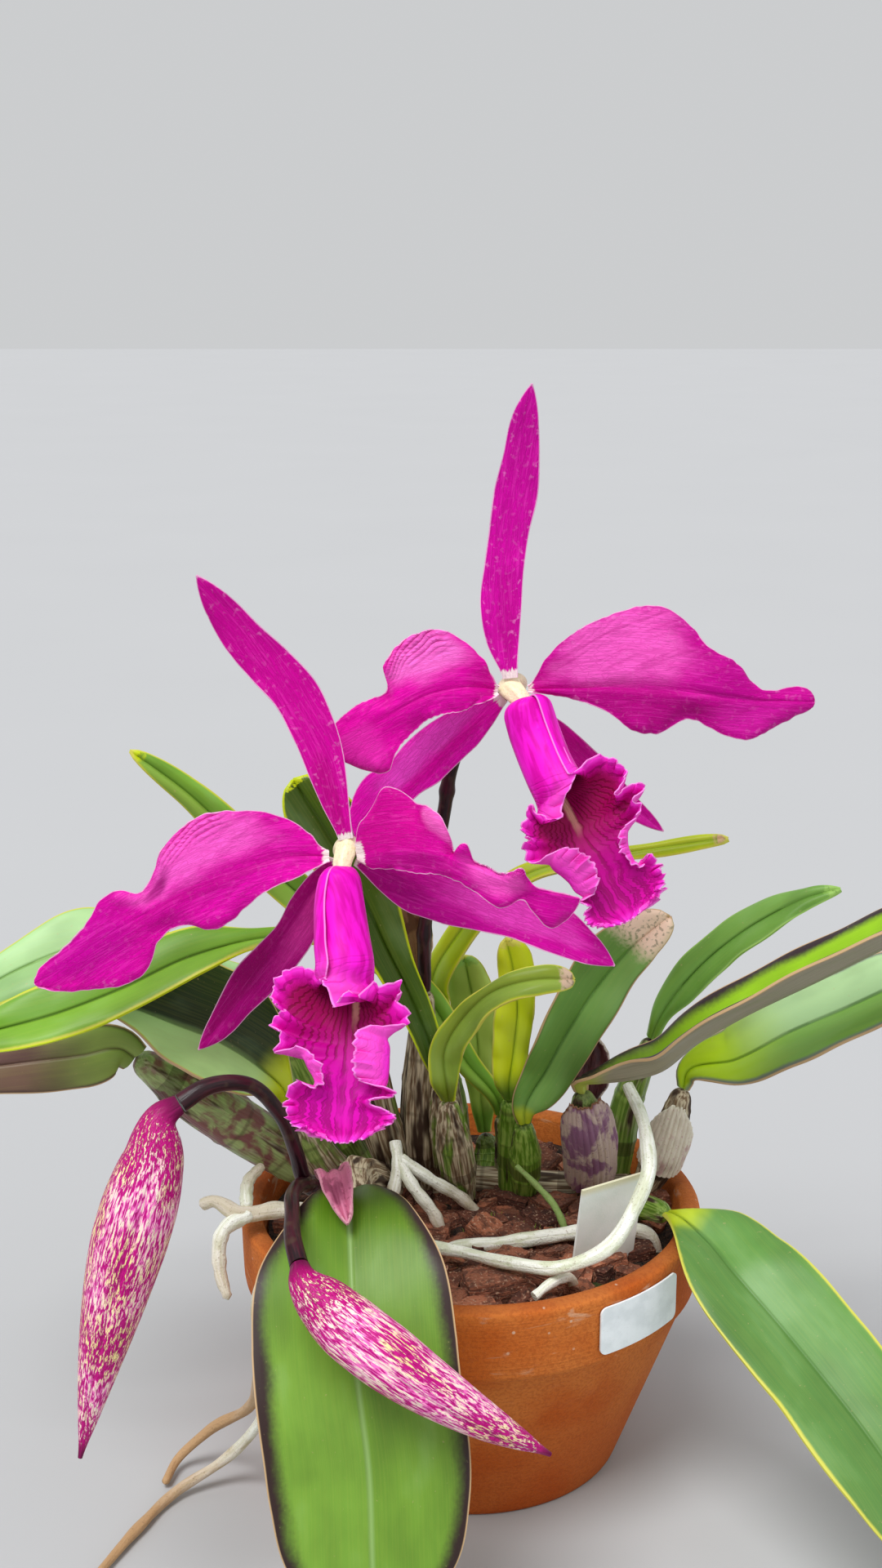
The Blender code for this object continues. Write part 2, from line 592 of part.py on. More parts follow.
# Tepals: the two flowers' sepals and petals, in the same form as the leaves.
TEPALS = {
    "low_dorsal_sepal": dict(points=[(-34, -52, 209), (-36, -50, 218), (-39, -47, 229), (-46, -44, 242),
                                     (-56, -42, 257), (-65, -43, 269), (-72, -46, 278)],
                             plus=(2, 3, 4.5, 6.5, 7.5, 6, 4, 3, 0.6), minus=(2, 4.5, 6, 5.5, 5, 6.5, 7, 5, 0.6)),
    "low_petal_left": dict(points=[(-38.5, -54, 205), (-50, -56, 205), (-62, -58, 202), (-76, -57, 196),
                                   (-89, -56, 188), (-103, -55, 179), (-118, -54, 169)],
                           plus=(2, 7.5, 12, 15.5, 16.5, 15.5, 10.5, 6.5, 9.5, 7, 4.5, 3, 1),
                           minus=(2, 5.5, 7.5, 8.5, 10.5, 12, 9.5, 8, 12.5, 13.5, 11, 6.5, 1)),
    "low_sepal_left": dict(points=[(-37, -48, 202), (-45, -46, 189), (-53, -44, 177), (-63, -43, 163),
                                   (-71, -43, 152), (-76, -44, 146)],
                           plus=(2, 4, 4.5, 3.5, 4.5, 5.5, 4.5, 3, 0.6), minus=(2, 3, 6, 7.5, 7.5, 6.5, 5, 4, 0.6)),
    "low_sepal_right": dict(points=[(-31.5, -48, 202.5), (-18, -46, 195), (-5, -45, 190), (11, -46, 184),
                                    (26, -47, 178), (38, -48, 172)],
                            plus=(2, 5, 7.5, 7.5, 6, 4.5, 4.5, 3.5, 0.6), minus=(2, 4, 6, 8, 9, 9.5, 9, 5.5, 0.6)),
    "low_petal_right": dict(points=[(-31, -54, 205.5), (-19, -62, 209), (-9, -70, 210), (3, -74, 206),
                                    (16, -72, 201), (27, -66, 197)],
                            plus=(2, 4.5, 6.5, 7.5, 8, 7.5, 6.5, 5.5, 5.5, 5, 6, 4.5, 0.6),
                            minus=(2, 11.5, 17, 16.5, 13.5, 11, 5.5, 4, 5, 4, 2, 1, 0.6)),
    "high_dorsal_sepal": dict(points=[(10, -22, 246), (9, -20, 255), (8, -17, 270), (9, -15, 285), (11, -15, 301),
                                      (13, -17, 314), (15, -20, 325)],
                              plus=(2, 3.5, 5, 5.5, 6, 7, 6, 4, 0.6), minus=(2, 5.5, 6.5, 5.5, 5, 5, 4, 3.5, 0.6)),
    "high_petal_left": dict(points=[(6.5, -22, 243), (-2, -27, 245), (-11, -29, 244), (-22, -30, 239),
                                    (-31, -30, 234), (-40, -30, 229)],
                            plus=(2, 5, 10.5, 14.5, 16, 15, 13.5, 7, 5.5, 5.5, 5, 3.5, 1),
                            minus=(2, 4.5, 7, 7.5, 8, 8, 8, 9, 10.5, 13, 12.5, 8.5, 1)),
    "high_petal_right": dict(points=[(15, -22, 243), (26, -27, 244), (42, -29, 245), (57, -30, 244), (71, -29, 242),
                                     (82, -27, 241), (93, -25, 240)],
                             plus=(1.5, 2, 3.5, 5.5, 9, 12.5, 11, 7, 9.5, 11, 9, 5.5, 1),
                             minus=(1.5, 8.5, 13.5, 17, 21.5, 23.5, 21.5, 16.5, 11, 8, 3, 3.5, 1)),
    "high_sepal_left": dict(points=[(8, -18, 240), (-7, -14, 225), (-18, -11, 213), (-28, -10, 203), (-33, -11, 196)],
                            plus=(2, 4.5, 7, 8.5, 9, 8.5, 10, 7.5, 0.6), minus=(2, 4, 5.5, 5.5, 5.5, 4, 4.5, 4, 0.6)),
    "high_sepal_right": dict(points=[(13, -17, 239), (25, -11, 225), (37, -7, 213), (48, -6, 203), (55, -7, 198)],
                             plus=(2, 5, 5.5, 6, 5.5, 5.5, 4.5, 2.5, 0.6),
                             minus=(2, 3, 4.5, 5, 5, 4.5, 3.5, 2.5, 0.6)),
}


def petal_wave(u, v):
    return 0.0022 * u * abs(v) ** 2 * math.sin(17.0 * u + 2.5 * v)


def sepal_wave(u, v):
    return 0.0006 * abs(v) ** 2 * math.sin(8.0 * u + 2.0 * v)


def make_tepals(material):
    for name, shape in TEPALS.items():
        facing = LOW_FACING if name.startswith("low") else HIGH_FACING
        petal = "petal" in name
        sheet(name, shape["points"], facing, shape["plus"], shape["minus"], material, TEPAL_THICKNESS,
              rows=14 if petal else 8, columns=4, fold=8,
              wave=petal_wave if petal else sepal_wave)


# Lips: the side lobes wrap round the column as a tube and open into a ruffled mouth and a front lobe.
# The wide lobe crosses over the front of the tube; the narrow one lies on its edge.
LIPS = {
    "low_lip": dict(points=[(-35, -52, 200.5), (-35, -54, 193), (-34, -58, 184), (-33, -63, 176), (-33, -68, 169),
                            (-33, -75, 161), (-33, -81, 155), (-34, -87, 147), (-34, -91, 140)],
                    facing=LOW_FACING, wide_side=-1, mouth=0.44),
    "high_lip": dict(points=[(14, -21, 237.5), (17, -24, 229), (21, -30, 220), (26, -36, 211), (30, -42, 203),
                             (35, -47, 195), (41, -52, 186)],
                     facing=HIGH_FACING, wide_side=1, mouth=0.53),
}
# Half widths in millimetres and the turns in degrees of the inner and edge parts, from the tube's foot to
# the lip's tip, with the mouth in the middle of each list.
WIDE_HALF = (18, 20, 23, 25.5, 27.5, 29, 27, 23, 20, 19, 13, 14, 4)
WIDE_INNER = (144, 144, 144, 144, 144, 144, 136, 104, 45, 40, 20, 15, 10)
WIDE_EDGE = (96, 96, 96, 96, 96, 96, 50, -65, 140, 140, -10, -15, -20)
NARROW_HALF = (12, 15, 17, 18.5, 19.5, 20, 22, 25, 20, 17, 13, 14.5, 4)
NARROW_INNER = (90, 90, 90, 90, 90, 90, 85, 74, 46, 38, 22, 15, 10)
NARROW_EDGE = (60, 60, 60, 60, 60, 45, -30, -55, -25, -5, 30, -15, -20)
LIP_EDGE_FROM = 0.6
LIP_RUFFLE = 0.0022
LIP_ROWS = 19
LIP_COLUMNS = 14


def arc_step(length, start, turn):
    """How far a curve of even turn goes: across and up, setting out at the start angle."""
    if abs(turn) < 1e-4:
        return length * math.cos(start), length * math.sin(start)
    radius = length / turn
    return radius * (math.sin(start + turn) - math.sin(start)), radius * (math.cos(start) - math.cos(start + turn))


def lip_point(path, facing, wide_side, mouth, u, v):
    centre = path.at(u)
    along = path.tangent(u)
    normal = Vector(facing)
    normal = (normal - normal.dot(along) * along).normalized()
    side = along.cross(normal)
    place = 0.5 * u / mouth if u < mouth else 0.5 + 0.5 * (u - mouth) / (1 - mouth)
    wide = v * wide_side > 0
    half = spread(WIDE_HALF if wide else NARROW_HALF, place) * MM
    inner = math.radians(spread(WIDE_INNER if wide else NARROW_INNER, place))
    edge = math.radians(spread(WIDE_EDGE if wide else NARROW_EDGE, place))
    reach = abs(v)
    inner_part = min(reach, LIP_EDGE_FROM)
    across, rise = arc_step(half * inner_part, 0.0, inner * inner_part / LIP_EDGE_FROM)
    if reach > LIP_EDGE_FROM:
        edge_part = (reach - LIP_EDGE_FROM) / (1 - LIP_EDGE_FROM)
        step = arc_step(half * (reach - LIP_EDGE_FROM), inner, edge * edge_part)
        across += step[0]
        rise += step[1]
    loose = min(max((place - 0.5) / 0.12, 0.0), 1.0)
    rise += LIP_RUFFLE * loose * reach ** 3 * math.sin(46.0 * u + 1.5 * v)
    return centre + side * (across if v >= 0 else -across) + normal * rise


def make_lips(material):
    for name, shape in LIPS.items():
        path = Path(shape["points"])
        grid = []
        for i in range(LIP_ROWS + 1):
            grid.append([lip_point(path, shape["facing"], shape["wide_side"], shape["mouth"], i / LIP_ROWS,
                                   -1 + 2 * j / LIP_COLUMNS) for j in range(LIP_COLUMNS + 1)])
        verts, faces = thicken(grid, LIP_THICKNESS)
        add_object(name, verts, faces, material)


COLUMN_RADII = (1.8, 3.0, 3.4, 2.8, 2.4, 2.2, 2.1, 2.0, 1.8)
LOW_COLUMN = [(-34, -51, 206), (-35, -55, 203), (-35, -58, 195), (-34, -62, 187)]
HIGH_COLUMN = [(10, -20, 243), (13, -24, 240), (16, -28, 232), (19, -33, 225)]


def make_columns(material):
    """The column and ovary of each flower: the hub that the tepals stand on."""
    tube("low_column", joined(LOW_COLUMN, Path(LOW_STALK)), COLUMN_RADII, 10, material, rings=9)
    tube("high_column", joined(HIGH_COLUMN, Path(FLOWER_STEM)), COLUMN_RADII, 10, material, rings=9)


# Stems that carry the flowers and the buds.
FLOWER_STEM = [(-14, 2, 162), (-12, 3, 179), (-8, 2, 202), (-6, 0, 215), (-1, -3, 228), (9, -11, 239)]
LOW_STALK = [(-12, 3, 178), (-17, -8, 188), (-26, -26, 197), (-33, -42, 203)]
BUD_STEM = [(-38.5, -45, 102.5), (-42, -53, 108), (-46, -59, 114), (-48, -63, 124), (-52, -68, 138),
            (-60, -74, 149), (-70, -79, 150), (-76, -82, 147)]
SECOND_BUD_STEM = [(-44, -57, 112), (-47, -66, 116), (-48, -78, 119), (-47, -92, 121), (-46, -104, 120),
                   (-44, -111, 117)]
BUD_ONE = [(-83, -87, 133), (-90, -90, 110), (-97, -93, 83), (-104, -95, 52)]
BUD_TWO = [(-36, -119, 109), (-20, -128, 100), (-1, -128, 86), (18, -122, 71)]


def make_stems(material):
    stem = tube("flower_stem", joined(FLOWER_STEM, Path(BULBS["stem_bulb"][0])), 2.0, 8, material, rings=10)
    stalk = tube("stalk", LOW_STALK, (1.5, 1.7, 1.8, 1.8), 8, None, rings=5)
    apply_boolean(stem, [stalk], "UNION")
    buds = tube("bud_stem", BUD_STEM, (2.2, 2.4, 2.2, 2.0, 2.0, 2.0, 2.2, 2.6), 8, material, rings=14)
    fork = tube("fork", SECOND_BUD_STEM, (2.0, 2.0, 2.0, 2.4), 8, None, rings=9)
    apply_boolean(buds, [fork], "UNION")


def make_buds(material):
    left = joined(BUD_ONE, Path(BUD_STEM))
    tube("bud_left", left, (2.6, 6.8, 9.2, 9.6, 8.6, 7.0, 5.0, 2.8, 0.6), 11, material, rings=11)
    front = joined(BUD_TWO, Path(SECOND_BUD_STEM))
    tube("bud_front", front, (2.4, 6.2, 7.8, 7.8, 7.0, 5.8, 4.4, 2.6, 0.6), 11, material, rings=11)


# Pseudobulbs: foot, middle and top of each, with the radii from foot to top.
BULBS = {
    "left_mottled": ([(-36, 12, 74), (-62, -1, 98), (-80, -9, 115), (-98, -16, 132)], (4.0, 6.8, 7.8, 7.4, 3.8)),
    "far_left": ([(-30, 20, 74), (-48, 22, 104), (-62, 20, 136)], (4, 6, 5.5, 3)),
    "left_low": ([(-36, 12, 74), (-47, 0, 94), (-55, -8, 115)], (4, 6, 5.5, 3)),
    "behind_lip": ([(-22, 16, 74), (-30, 2, 116), (-36, -10, 161)], (4, 6, 6, 5, 3)),
    "front": ([(-24, 14, 74), (-34, -14, 93), (-33, -46, 102)], (4, 6, 6, 5, 3)),
    "stem_bulb": ([(-14, 18, 74), (-15, 9, 110), (-14, 4, 145)], (4, 6.5, 6, 4.5, 3)),
    "middle_left": ([(-6, 18, 74), (-7, 7, 96), (-9, -4, 118)], (4, 5.5, 5, 3)),
    "middle_back": ([(-4, 28, 74), (-6, 24, 96), (-7, 20, 115)], (4, 5.5, 5, 2.8)),
    "middle_front": ([(-2, 12, 74), (-5, 1, 96), (-7, -8, 115)], (4, 5.5, 5, 2.8)),
    "short_back": ([(5, 23, 74), (6, 28, 80), (5, 29, 87)], (4, 4.5, 2.8)),
    "centre_one": ([(12, 22, 74), (13, 19, 88), (10, 17, 99)], (4, 5, 2.8)),
    "centre_two": ([(17, 14, 74), (17, 6, 90), (16, 0, 104)], (4, 5, 2.8)),
    "centre_three": ([(13, 16, 74), (13, 11, 92), (12, 6, 109)], (4, 4.5, 2.8)),
    "purple": ([(37, 16, 74), (37, 6, 90), (33, -10, 118)], (4.5, 6.6, 6.6, 5.5, 3)),
    "right_back": ([(46, 20, 74), (49, 20, 100), (56, 15, 125)], (4, 5, 4.5, 2.8)),
    "right": ([(54, 14, 74), (60, 8, 92), (65, 7, 112)], (4, 5.5, 5, 3)),
    "right_low": ([(45, -2, 74), (52, -12, 82), (58, -21, 84)], (3.5, 4, 3.6, 3)),
}
BULB_SIDES = 8
BULB_RINGS = 5
RHIZOME = [(-46, 14, 74), (-30, 17, 75), (-14, 19, 75), (2, 21, 75), (16, 18, 75), (34, 16, 75), (52, 16, 75)]
RHIZOME_BRANCH = [(47, 18, 75), (48, 8, 75), (45, -4, 75)]


def make_bulbs(material):
    """All pseudobulbs and the creeping stem, fused, and the matching cutters for the mix."""
    body = tube("pseudobulbs", RHIZOME, 4.2, 8, material)
    tools = [tube("branch", RHIZOME_BRANCH, 3.6, 8, None)]
    cutters = [tube("cut", RHIZOME, 4.2, 8, None, grow=GAP), tube("cut", RHIZOME_BRANCH, 3.6, 8, None, grow=GAP)]
    for points, radii in BULBS.values():
        tools.append(tube("bulb", points, radii, BULB_SIDES, None, rings=BULB_RINGS))
        cutters.append(tube("cut", points, radii, BULB_SIDES, None, grow=GAP, rings=BULB_RINGS))
    apply_boolean(body, tools, "UNION")
    return cutters


# Roots: one group to a node, each branch with its points and its radii.
ROOTS = {
    "root_arch": [([(47, -2, 117), (50, -9, 112), (51, -24, 108), (50, -36, 104), (46, -43, 98), (38, -50, 89),
                    (25, -52, 84), (10, -44, 81), (-6, -33, 79), (-22, -22, 74), (-28, -18, 64)],
                   (1.7, 2.0, 2.2, 2.2, 2.1, 2.0, 1.9, 1.8, 1.8, 1.9, 1.9))],
    "root_across": [([(-12, -14, 66), (-4, -20, 73), (6, -22, 75), (20, -20, 76), (34, -18, 77), (46, -18, 78),
                      (53, -18, 76), (56, -18, 66)], (1.8, 2.0, 2.1, 2.2, 2.2, 2.2, 2.0, 1.8))],
    "root_fork": [([(-23, 1, 97), (-22, -4, 92), (-24, -8, 82), (-26, -12, 66)], (1.8, 2.0, 2.0, 1.8)),
                  ([(-22, -3, 94), (-12, -2, 86), (-3, 2, 78), (8, 4, 64)], (1.8, 1.9, 1.9, 1.6)),
                  ([(-22, -4, 93), (-17, -8, 86), (-11, -9, 78), (-8, -9, 64)], (1.8, 1.9, 1.9, 1.6))],
    "root_green": [([(14, -1, 90), (20, -6, 86), (25, -11, 82), (28, -14, 76), (29, -16, 65)],
                    (0.8, 1.0, 1.1, 1.1, 1.0))],
    "root_stub": [([(17, -56, 77), (22, -52, 79), (27, -47, 78), (30, -43, 64)], (1.3, 1.5, 1.5, 1.4))],
    "root_left": [([(-36, -6, 64), (-44, -14, 80), (-57, -22, 86), (-68, -26, 87), (-76, -24, 90), (-80, -23, 88)],
                   (2.0, 2.5, 2.6, 2.5, 2.3, 1.8)),
                  ([(-64, -25, 87), (-72, -30, 84), (-73, -36, 74), (-70, -42, 68)], (2.4, 2.2, 2.0, 1.4)),
                  ([(-66, -25, 88), (-66, -17, 93), (-62, -12, 96)], (2.0, 1.9, 1.4))],
    "root_trailing": [([(-34, -28, 64), (-42, -34, 80), (-51, -44, 87), (-58, -50, 80), (-61, -45, 52),
                        (-66, -32, 27), (-80, -22, 12), (-89, -24, 4), (-92, -34, 2)],
                       (2.0, 2.4, 2.4, 2.2, 1.9, 1.7, 1.6, 1.5, 1.2)),
                      ([(-61, -46, 55), (-63, -36, 24), (-74, -32, 9), (-87, -38, 3), (-97, -56, 2), (-105, -76, 2)],
                       (1.7, 1.6, 1.6, 1.5, 1.5, 1.2))],
}
ROOT_SIDES = 7
ROOT_STEP = 0.010


def make_roots(material):
    cutters = []
    for name, branches in ROOTS.items():
        sides = 6 if name == "root_green" else ROOT_SIDES
        first = branches[0]
        root = tube(name, first[0], first[1], sides, material)
        others = [tube("branch", points, radii, sides, None) for points, radii in branches[1:]]
        if others:
            apply_boolean(root, others, "UNION")
        for points, radii in branches:
            cutters.append(tube("cut", points, radii, sides, None, grow=GAP))
    return cutters


# Papery sheaths: part tubes wrapped round a bulb, open on one side and looser towards the top.
WRAPS = {
    "bulb_sheath_purple": dict(bulb="purple", start=0.22, end=0.84, middle=-80, spread=(95, 110, 105, 80, 40),
                               slack=(0.8, 0.9, 1.2, 1.6)),
    "bulb_sheath_white": dict(bulb="right", start=0.35, end=0.90, middle=-100, spread=(100, 110, 90, 60, 20),
                              slack=(0.8, 1.0, 1.4, 2.0)),
}
# Open sheaths and the bract: short sheets that curve round what they cover.
SHEATHS = {
    "flower_sheath": dict(points=[(-16, 8.5, 149), (-17, 8.5, 157), (-18, 7.5, 166), (-18, 5.5, 175)],
                          facing=VIEWER, plus=(3, 6, 7, 5, 1), minus=(3, 6, 7, 5, 1), roll=60),
    "leaf_sheath_maroon": dict(points=[(35, -1, 113), (36, -0.5, 118), (37, 0, 126), (36, -1, 133)],
                               facing=VIEWER, plus=(4, 6, 6, 4, 1), minus=(4, 6, 6, 4, 1), roll=40),
    "bud_bract": dict(points=[(-40, -56, 112), (-38, -66, 120), (-36, -80, 122), (-33, -90, 117)],
                      facing=(0, -0.4, 0.9), plus=(2, 5, 5, 4, 1), minus=(2, 5, 5, 4, 1), roll=40),
}


def make_wrap(name, bulb, start, end, middle, spread_angle, slack, material, rows=6, columns=7):
    points, radii = BULBS[bulb]
    path = Path(points)
    grid = []
    for i in range(rows + 1):
        part = i / rows
        u = start + (end - start) * part
        along = path.tangent(u)
        side = Vector((1, 0, 0))
        side = (side - side.dot(along) * along).normalized()
        other = along.cross(side)
        reach = (spread(radii, u) + spread(slack, part)) * MM + SHEATH_THICKNESS / 2
        row = []
        for j in range(columns + 1):
            angle = math.radians(middle + spread(spread_angle, part) * (2 * j / columns - 1))
            row.append(path.at(u) + (side * math.cos(angle) + other * math.sin(angle)) * reach)
        grid.append(row)
    verts, faces = thicken(grid, SHEATH_THICKNESS)
    return add_object(name, verts, faces, material)


def make_sheaths(material):
    for name, shape in WRAPS.items():
        make_wrap(name, shape["bulb"], shape["start"], shape["end"], shape["middle"], shape["spread"],
                  shape["slack"], material)
    for name, shape in SHEATHS.items():
        sheet(name, shape["points"], shape["facing"], shape["plus"], shape["minus"], material, SHEATH_THICKNESS,
              rows=6, columns=5, roll=shape["roll"])


def main():
    clear_scene()
    clay = make_material("clay", (0.45, 0.16, 0.07), 0.75)
    bark = make_material("bark", (0.10, 0.045, 0.03), 0.9)
    white = make_material("white_plastic", (0.82, 0.84, 0.84), 0.4)
    green = make_material("leaf_green", (0.16, 0.33, 0.05), 0.38)
    magenta = make_material("petal_magenta", (0.62, 0.005, 0.33), 0.45)
    wine = make_material("lip_magenta", (0.50, 0.0, 0.22), 0.5)
    cream = make_material("column_cream", (0.80, 0.76, 0.60), 0.45)
    purple = make_material("stem_purple", (0.06, 0.02, 0.04), 0.45)
    speckled = make_material("bud_speckled", (0.75, 0.40, 0.58), 0.45)
    bulb = make_material("bulb_green", (0.20, 0.20, 0.10), 0.5)
    root = make_material("root_white", (0.70, 0.72, 0.62), 0.6)
    paper = make_material("sheath_paper", (0.40, 0.33, 0.30), 0.7)

    make_pot(clay)
    mix = make_mix(bark)
    _, slot = make_tag(white)
    make_label(white)
    make_leaves(green)
    make_tepals(magenta)
    make_lips(wine)
    make_columns(cream)
    make_stems(purple)
    make_buds(speckled)
    make_sheaths(paper)
    cutters = make_bulbs(bulb) + make_roots(root) + [slot]
    for cutter in cutters:
        apply_boolean(mix, [cutter], "DIFFERENCE")


main()
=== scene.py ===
"""The dressed orchid: fine flowers, leaves, bulbs, roots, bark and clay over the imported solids.

The frame is the solids' own: the origin is the middle of the pot's foot, +Z is up and the flowers
look towards -Y. The plant's points and sizes are in millimetres.
"""

import math
import random
from bisect import bisect_right

import bpy
import bmesh
from mathutils import Matrix, Vector, noise


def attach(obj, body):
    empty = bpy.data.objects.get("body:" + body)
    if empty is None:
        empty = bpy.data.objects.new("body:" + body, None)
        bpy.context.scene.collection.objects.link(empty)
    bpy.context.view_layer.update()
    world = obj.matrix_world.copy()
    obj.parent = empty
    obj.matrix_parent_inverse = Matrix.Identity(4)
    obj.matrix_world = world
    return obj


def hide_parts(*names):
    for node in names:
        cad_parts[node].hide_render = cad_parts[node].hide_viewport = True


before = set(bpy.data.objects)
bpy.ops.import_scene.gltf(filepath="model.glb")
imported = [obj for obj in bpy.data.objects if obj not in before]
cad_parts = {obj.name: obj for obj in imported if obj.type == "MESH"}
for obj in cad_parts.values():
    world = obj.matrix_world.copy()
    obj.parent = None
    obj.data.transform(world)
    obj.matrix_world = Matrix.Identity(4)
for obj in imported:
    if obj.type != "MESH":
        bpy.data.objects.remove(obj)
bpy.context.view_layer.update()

MM = 0.001

# The pot, turned about the Z axis, in metres. Edges that bend more than POT_SHARP degrees stay sharp.
POT_HEIGHT = 0.080
POT_RIM_RADIUS = 0.070
POT_BAND_HEIGHT = 0.022
POT_BAND_FOOT_RADIUS = 0.0694
POT_NECK_RADIUS = 0.0672
POT_FOOT_RADIUS = 0.047
POT_FLOOR = 0.007
POT_FLOOR_RADIUS = 0.041
POT_INNER_NECK_RADIUS = 0.0604
POT_INNER_RIM_RADIUS = 0.0638
POT_CORNER = 0.0016
POT_NECK = POT_HEIGHT - POT_BAND_HEIGHT
POT_SIDES = 144
POT_SHARP = 50
DRAIN_HOLES = 3
DRAIN_HOLE_RADIUS = 0.005
DRAIN_CIRCLE_RADIUS = 0.026

# The potting mix. Each layer of its relief: how fine it is, where in the noise it lies, and its share.
MIX_LEVEL = 0.071
MIX_RELIEF = 0.0018
MIX_LAYERS = ((60, 3.1, 1.0), (150, 7.7, 0.5), (420, 1.2, 0.25), (900, 5.2, 0.15))
MIX_RINGS = 40
MIX_SIDES = 120
GAP = 0.0003

# The label on the rim band.
LABEL_THICKNESS = 0.0006
LABEL_BOTTOM = 0.0615
LABEL_TOP = 0.0760
LABEL_START = math.radians(-60)
LABEL_END = math.radians(-34)
LABEL_CORNER = 0.0022

# Thicknesses of the thin pieces, in metres.
LEAF_THICKNESS = 0.0018
TEPAL_THICKNESS = 0.0009
LIP_THICKNESS = 0.0007
SHEATH_THICKNESS = 0.0007

# The cells along and across each kind of sheet. A curve has CURVE_STEPS steps between two of its points,
# and its direction is taken over TANGENT_STEP of its length to both sides.
LEAF_GRID = (84, 24)
PETAL_GRID = (150, 96)
SEPAL_GRID = (96, 24)
SHEATH_GRID = (48, 28)
WRAP_GRID = (48, 64)
LIP_GRID = (230, 128)
LABEL_GRID = (4, 56)
CURVE_STEPS = 24
TANGENT_STEP = 0.01

# The sides of each kind of tube.
STEM_SIDES = 24
ROOT_SIDES = 24
BULB_SIDES = 36
COLUMN_SIDES = 40
BUD_SIDES = 72
HOLE_SIDES = 24

# Over how many millimetres a sheet thins towards its edge.
EDGE_TAPER = 1.6

# How a piece sets out from the end of the one that bears it.
SEAT_GAP = 0.0006
SEAT_RUN = 0.0045

# The ways that the flowers and most of the leaves face.
LOW_FACING = (-0.05, -0.97, 0.20)
HIGH_FACING = (0.0, -0.97, 0.20)
VIEWER = (0.0, -0.90, 0.40)
UPWARD = (0.0, -0.60, 0.80)

# The camera of the photograph: its place in metres, how far it looks down, and its lens.
CAMERA_PLACE = (-0.009, -0.548, 0.356)
CAMERA_DOWN = math.radians(14.9)
CAMERA_LENS = 45.0
CAMERA_SENSOR = 36.0

# The floor and the lights: each sun's name, place, softness in degrees and strength.
FLOOR_REACH = 8.0
SKY_COLOUR = (0.97, 0.985, 1.0)
SKY_STRENGTH = 0.62
SUNS = (("key", (-0.35, -0.5, 1.15), 30, 2.4), ("fill", (0.9, -0.8, 0.8), 50, 0.35))


def shade(red, green, blue):
    """A linear colour from its 0 to 255 display values."""
    values = []
    for value in (red, green, blue):
        part = value / 255
        values.append(part / 12.92 if part <= 0.04045 else ((part + 0.055) / 1.055) ** 2.4)
    return tuple(values)


class Value:
    """A number, vector or colour on its way through a material's nodes; sums of it become nodes."""

    def __init__(self, look, socket):
        self.look = look
        self.socket = socket

    def __add__(self, other):
        return self.look.sums("ADD", self, other)

    def __sub__(self, number):
        return self + -number

    def __rsub__(self, number):
        return self * -1.0 + number

    def __mul__(self, other):
        return self.look.sums("MULTIPLY", self, other)

    def __abs__(self):
        return self.look.sums("ABSOLUTE", self)

    def between(self, low, high):
        """0 at low and 1 at high, smooth in between; low may be the larger."""
        limits = {"Value": self, "From Min": low, "From Max": high}
        return self.look.node("ShaderNodeMapRange", "Result", limits, interpolation_type="SMOOTHSTEP")


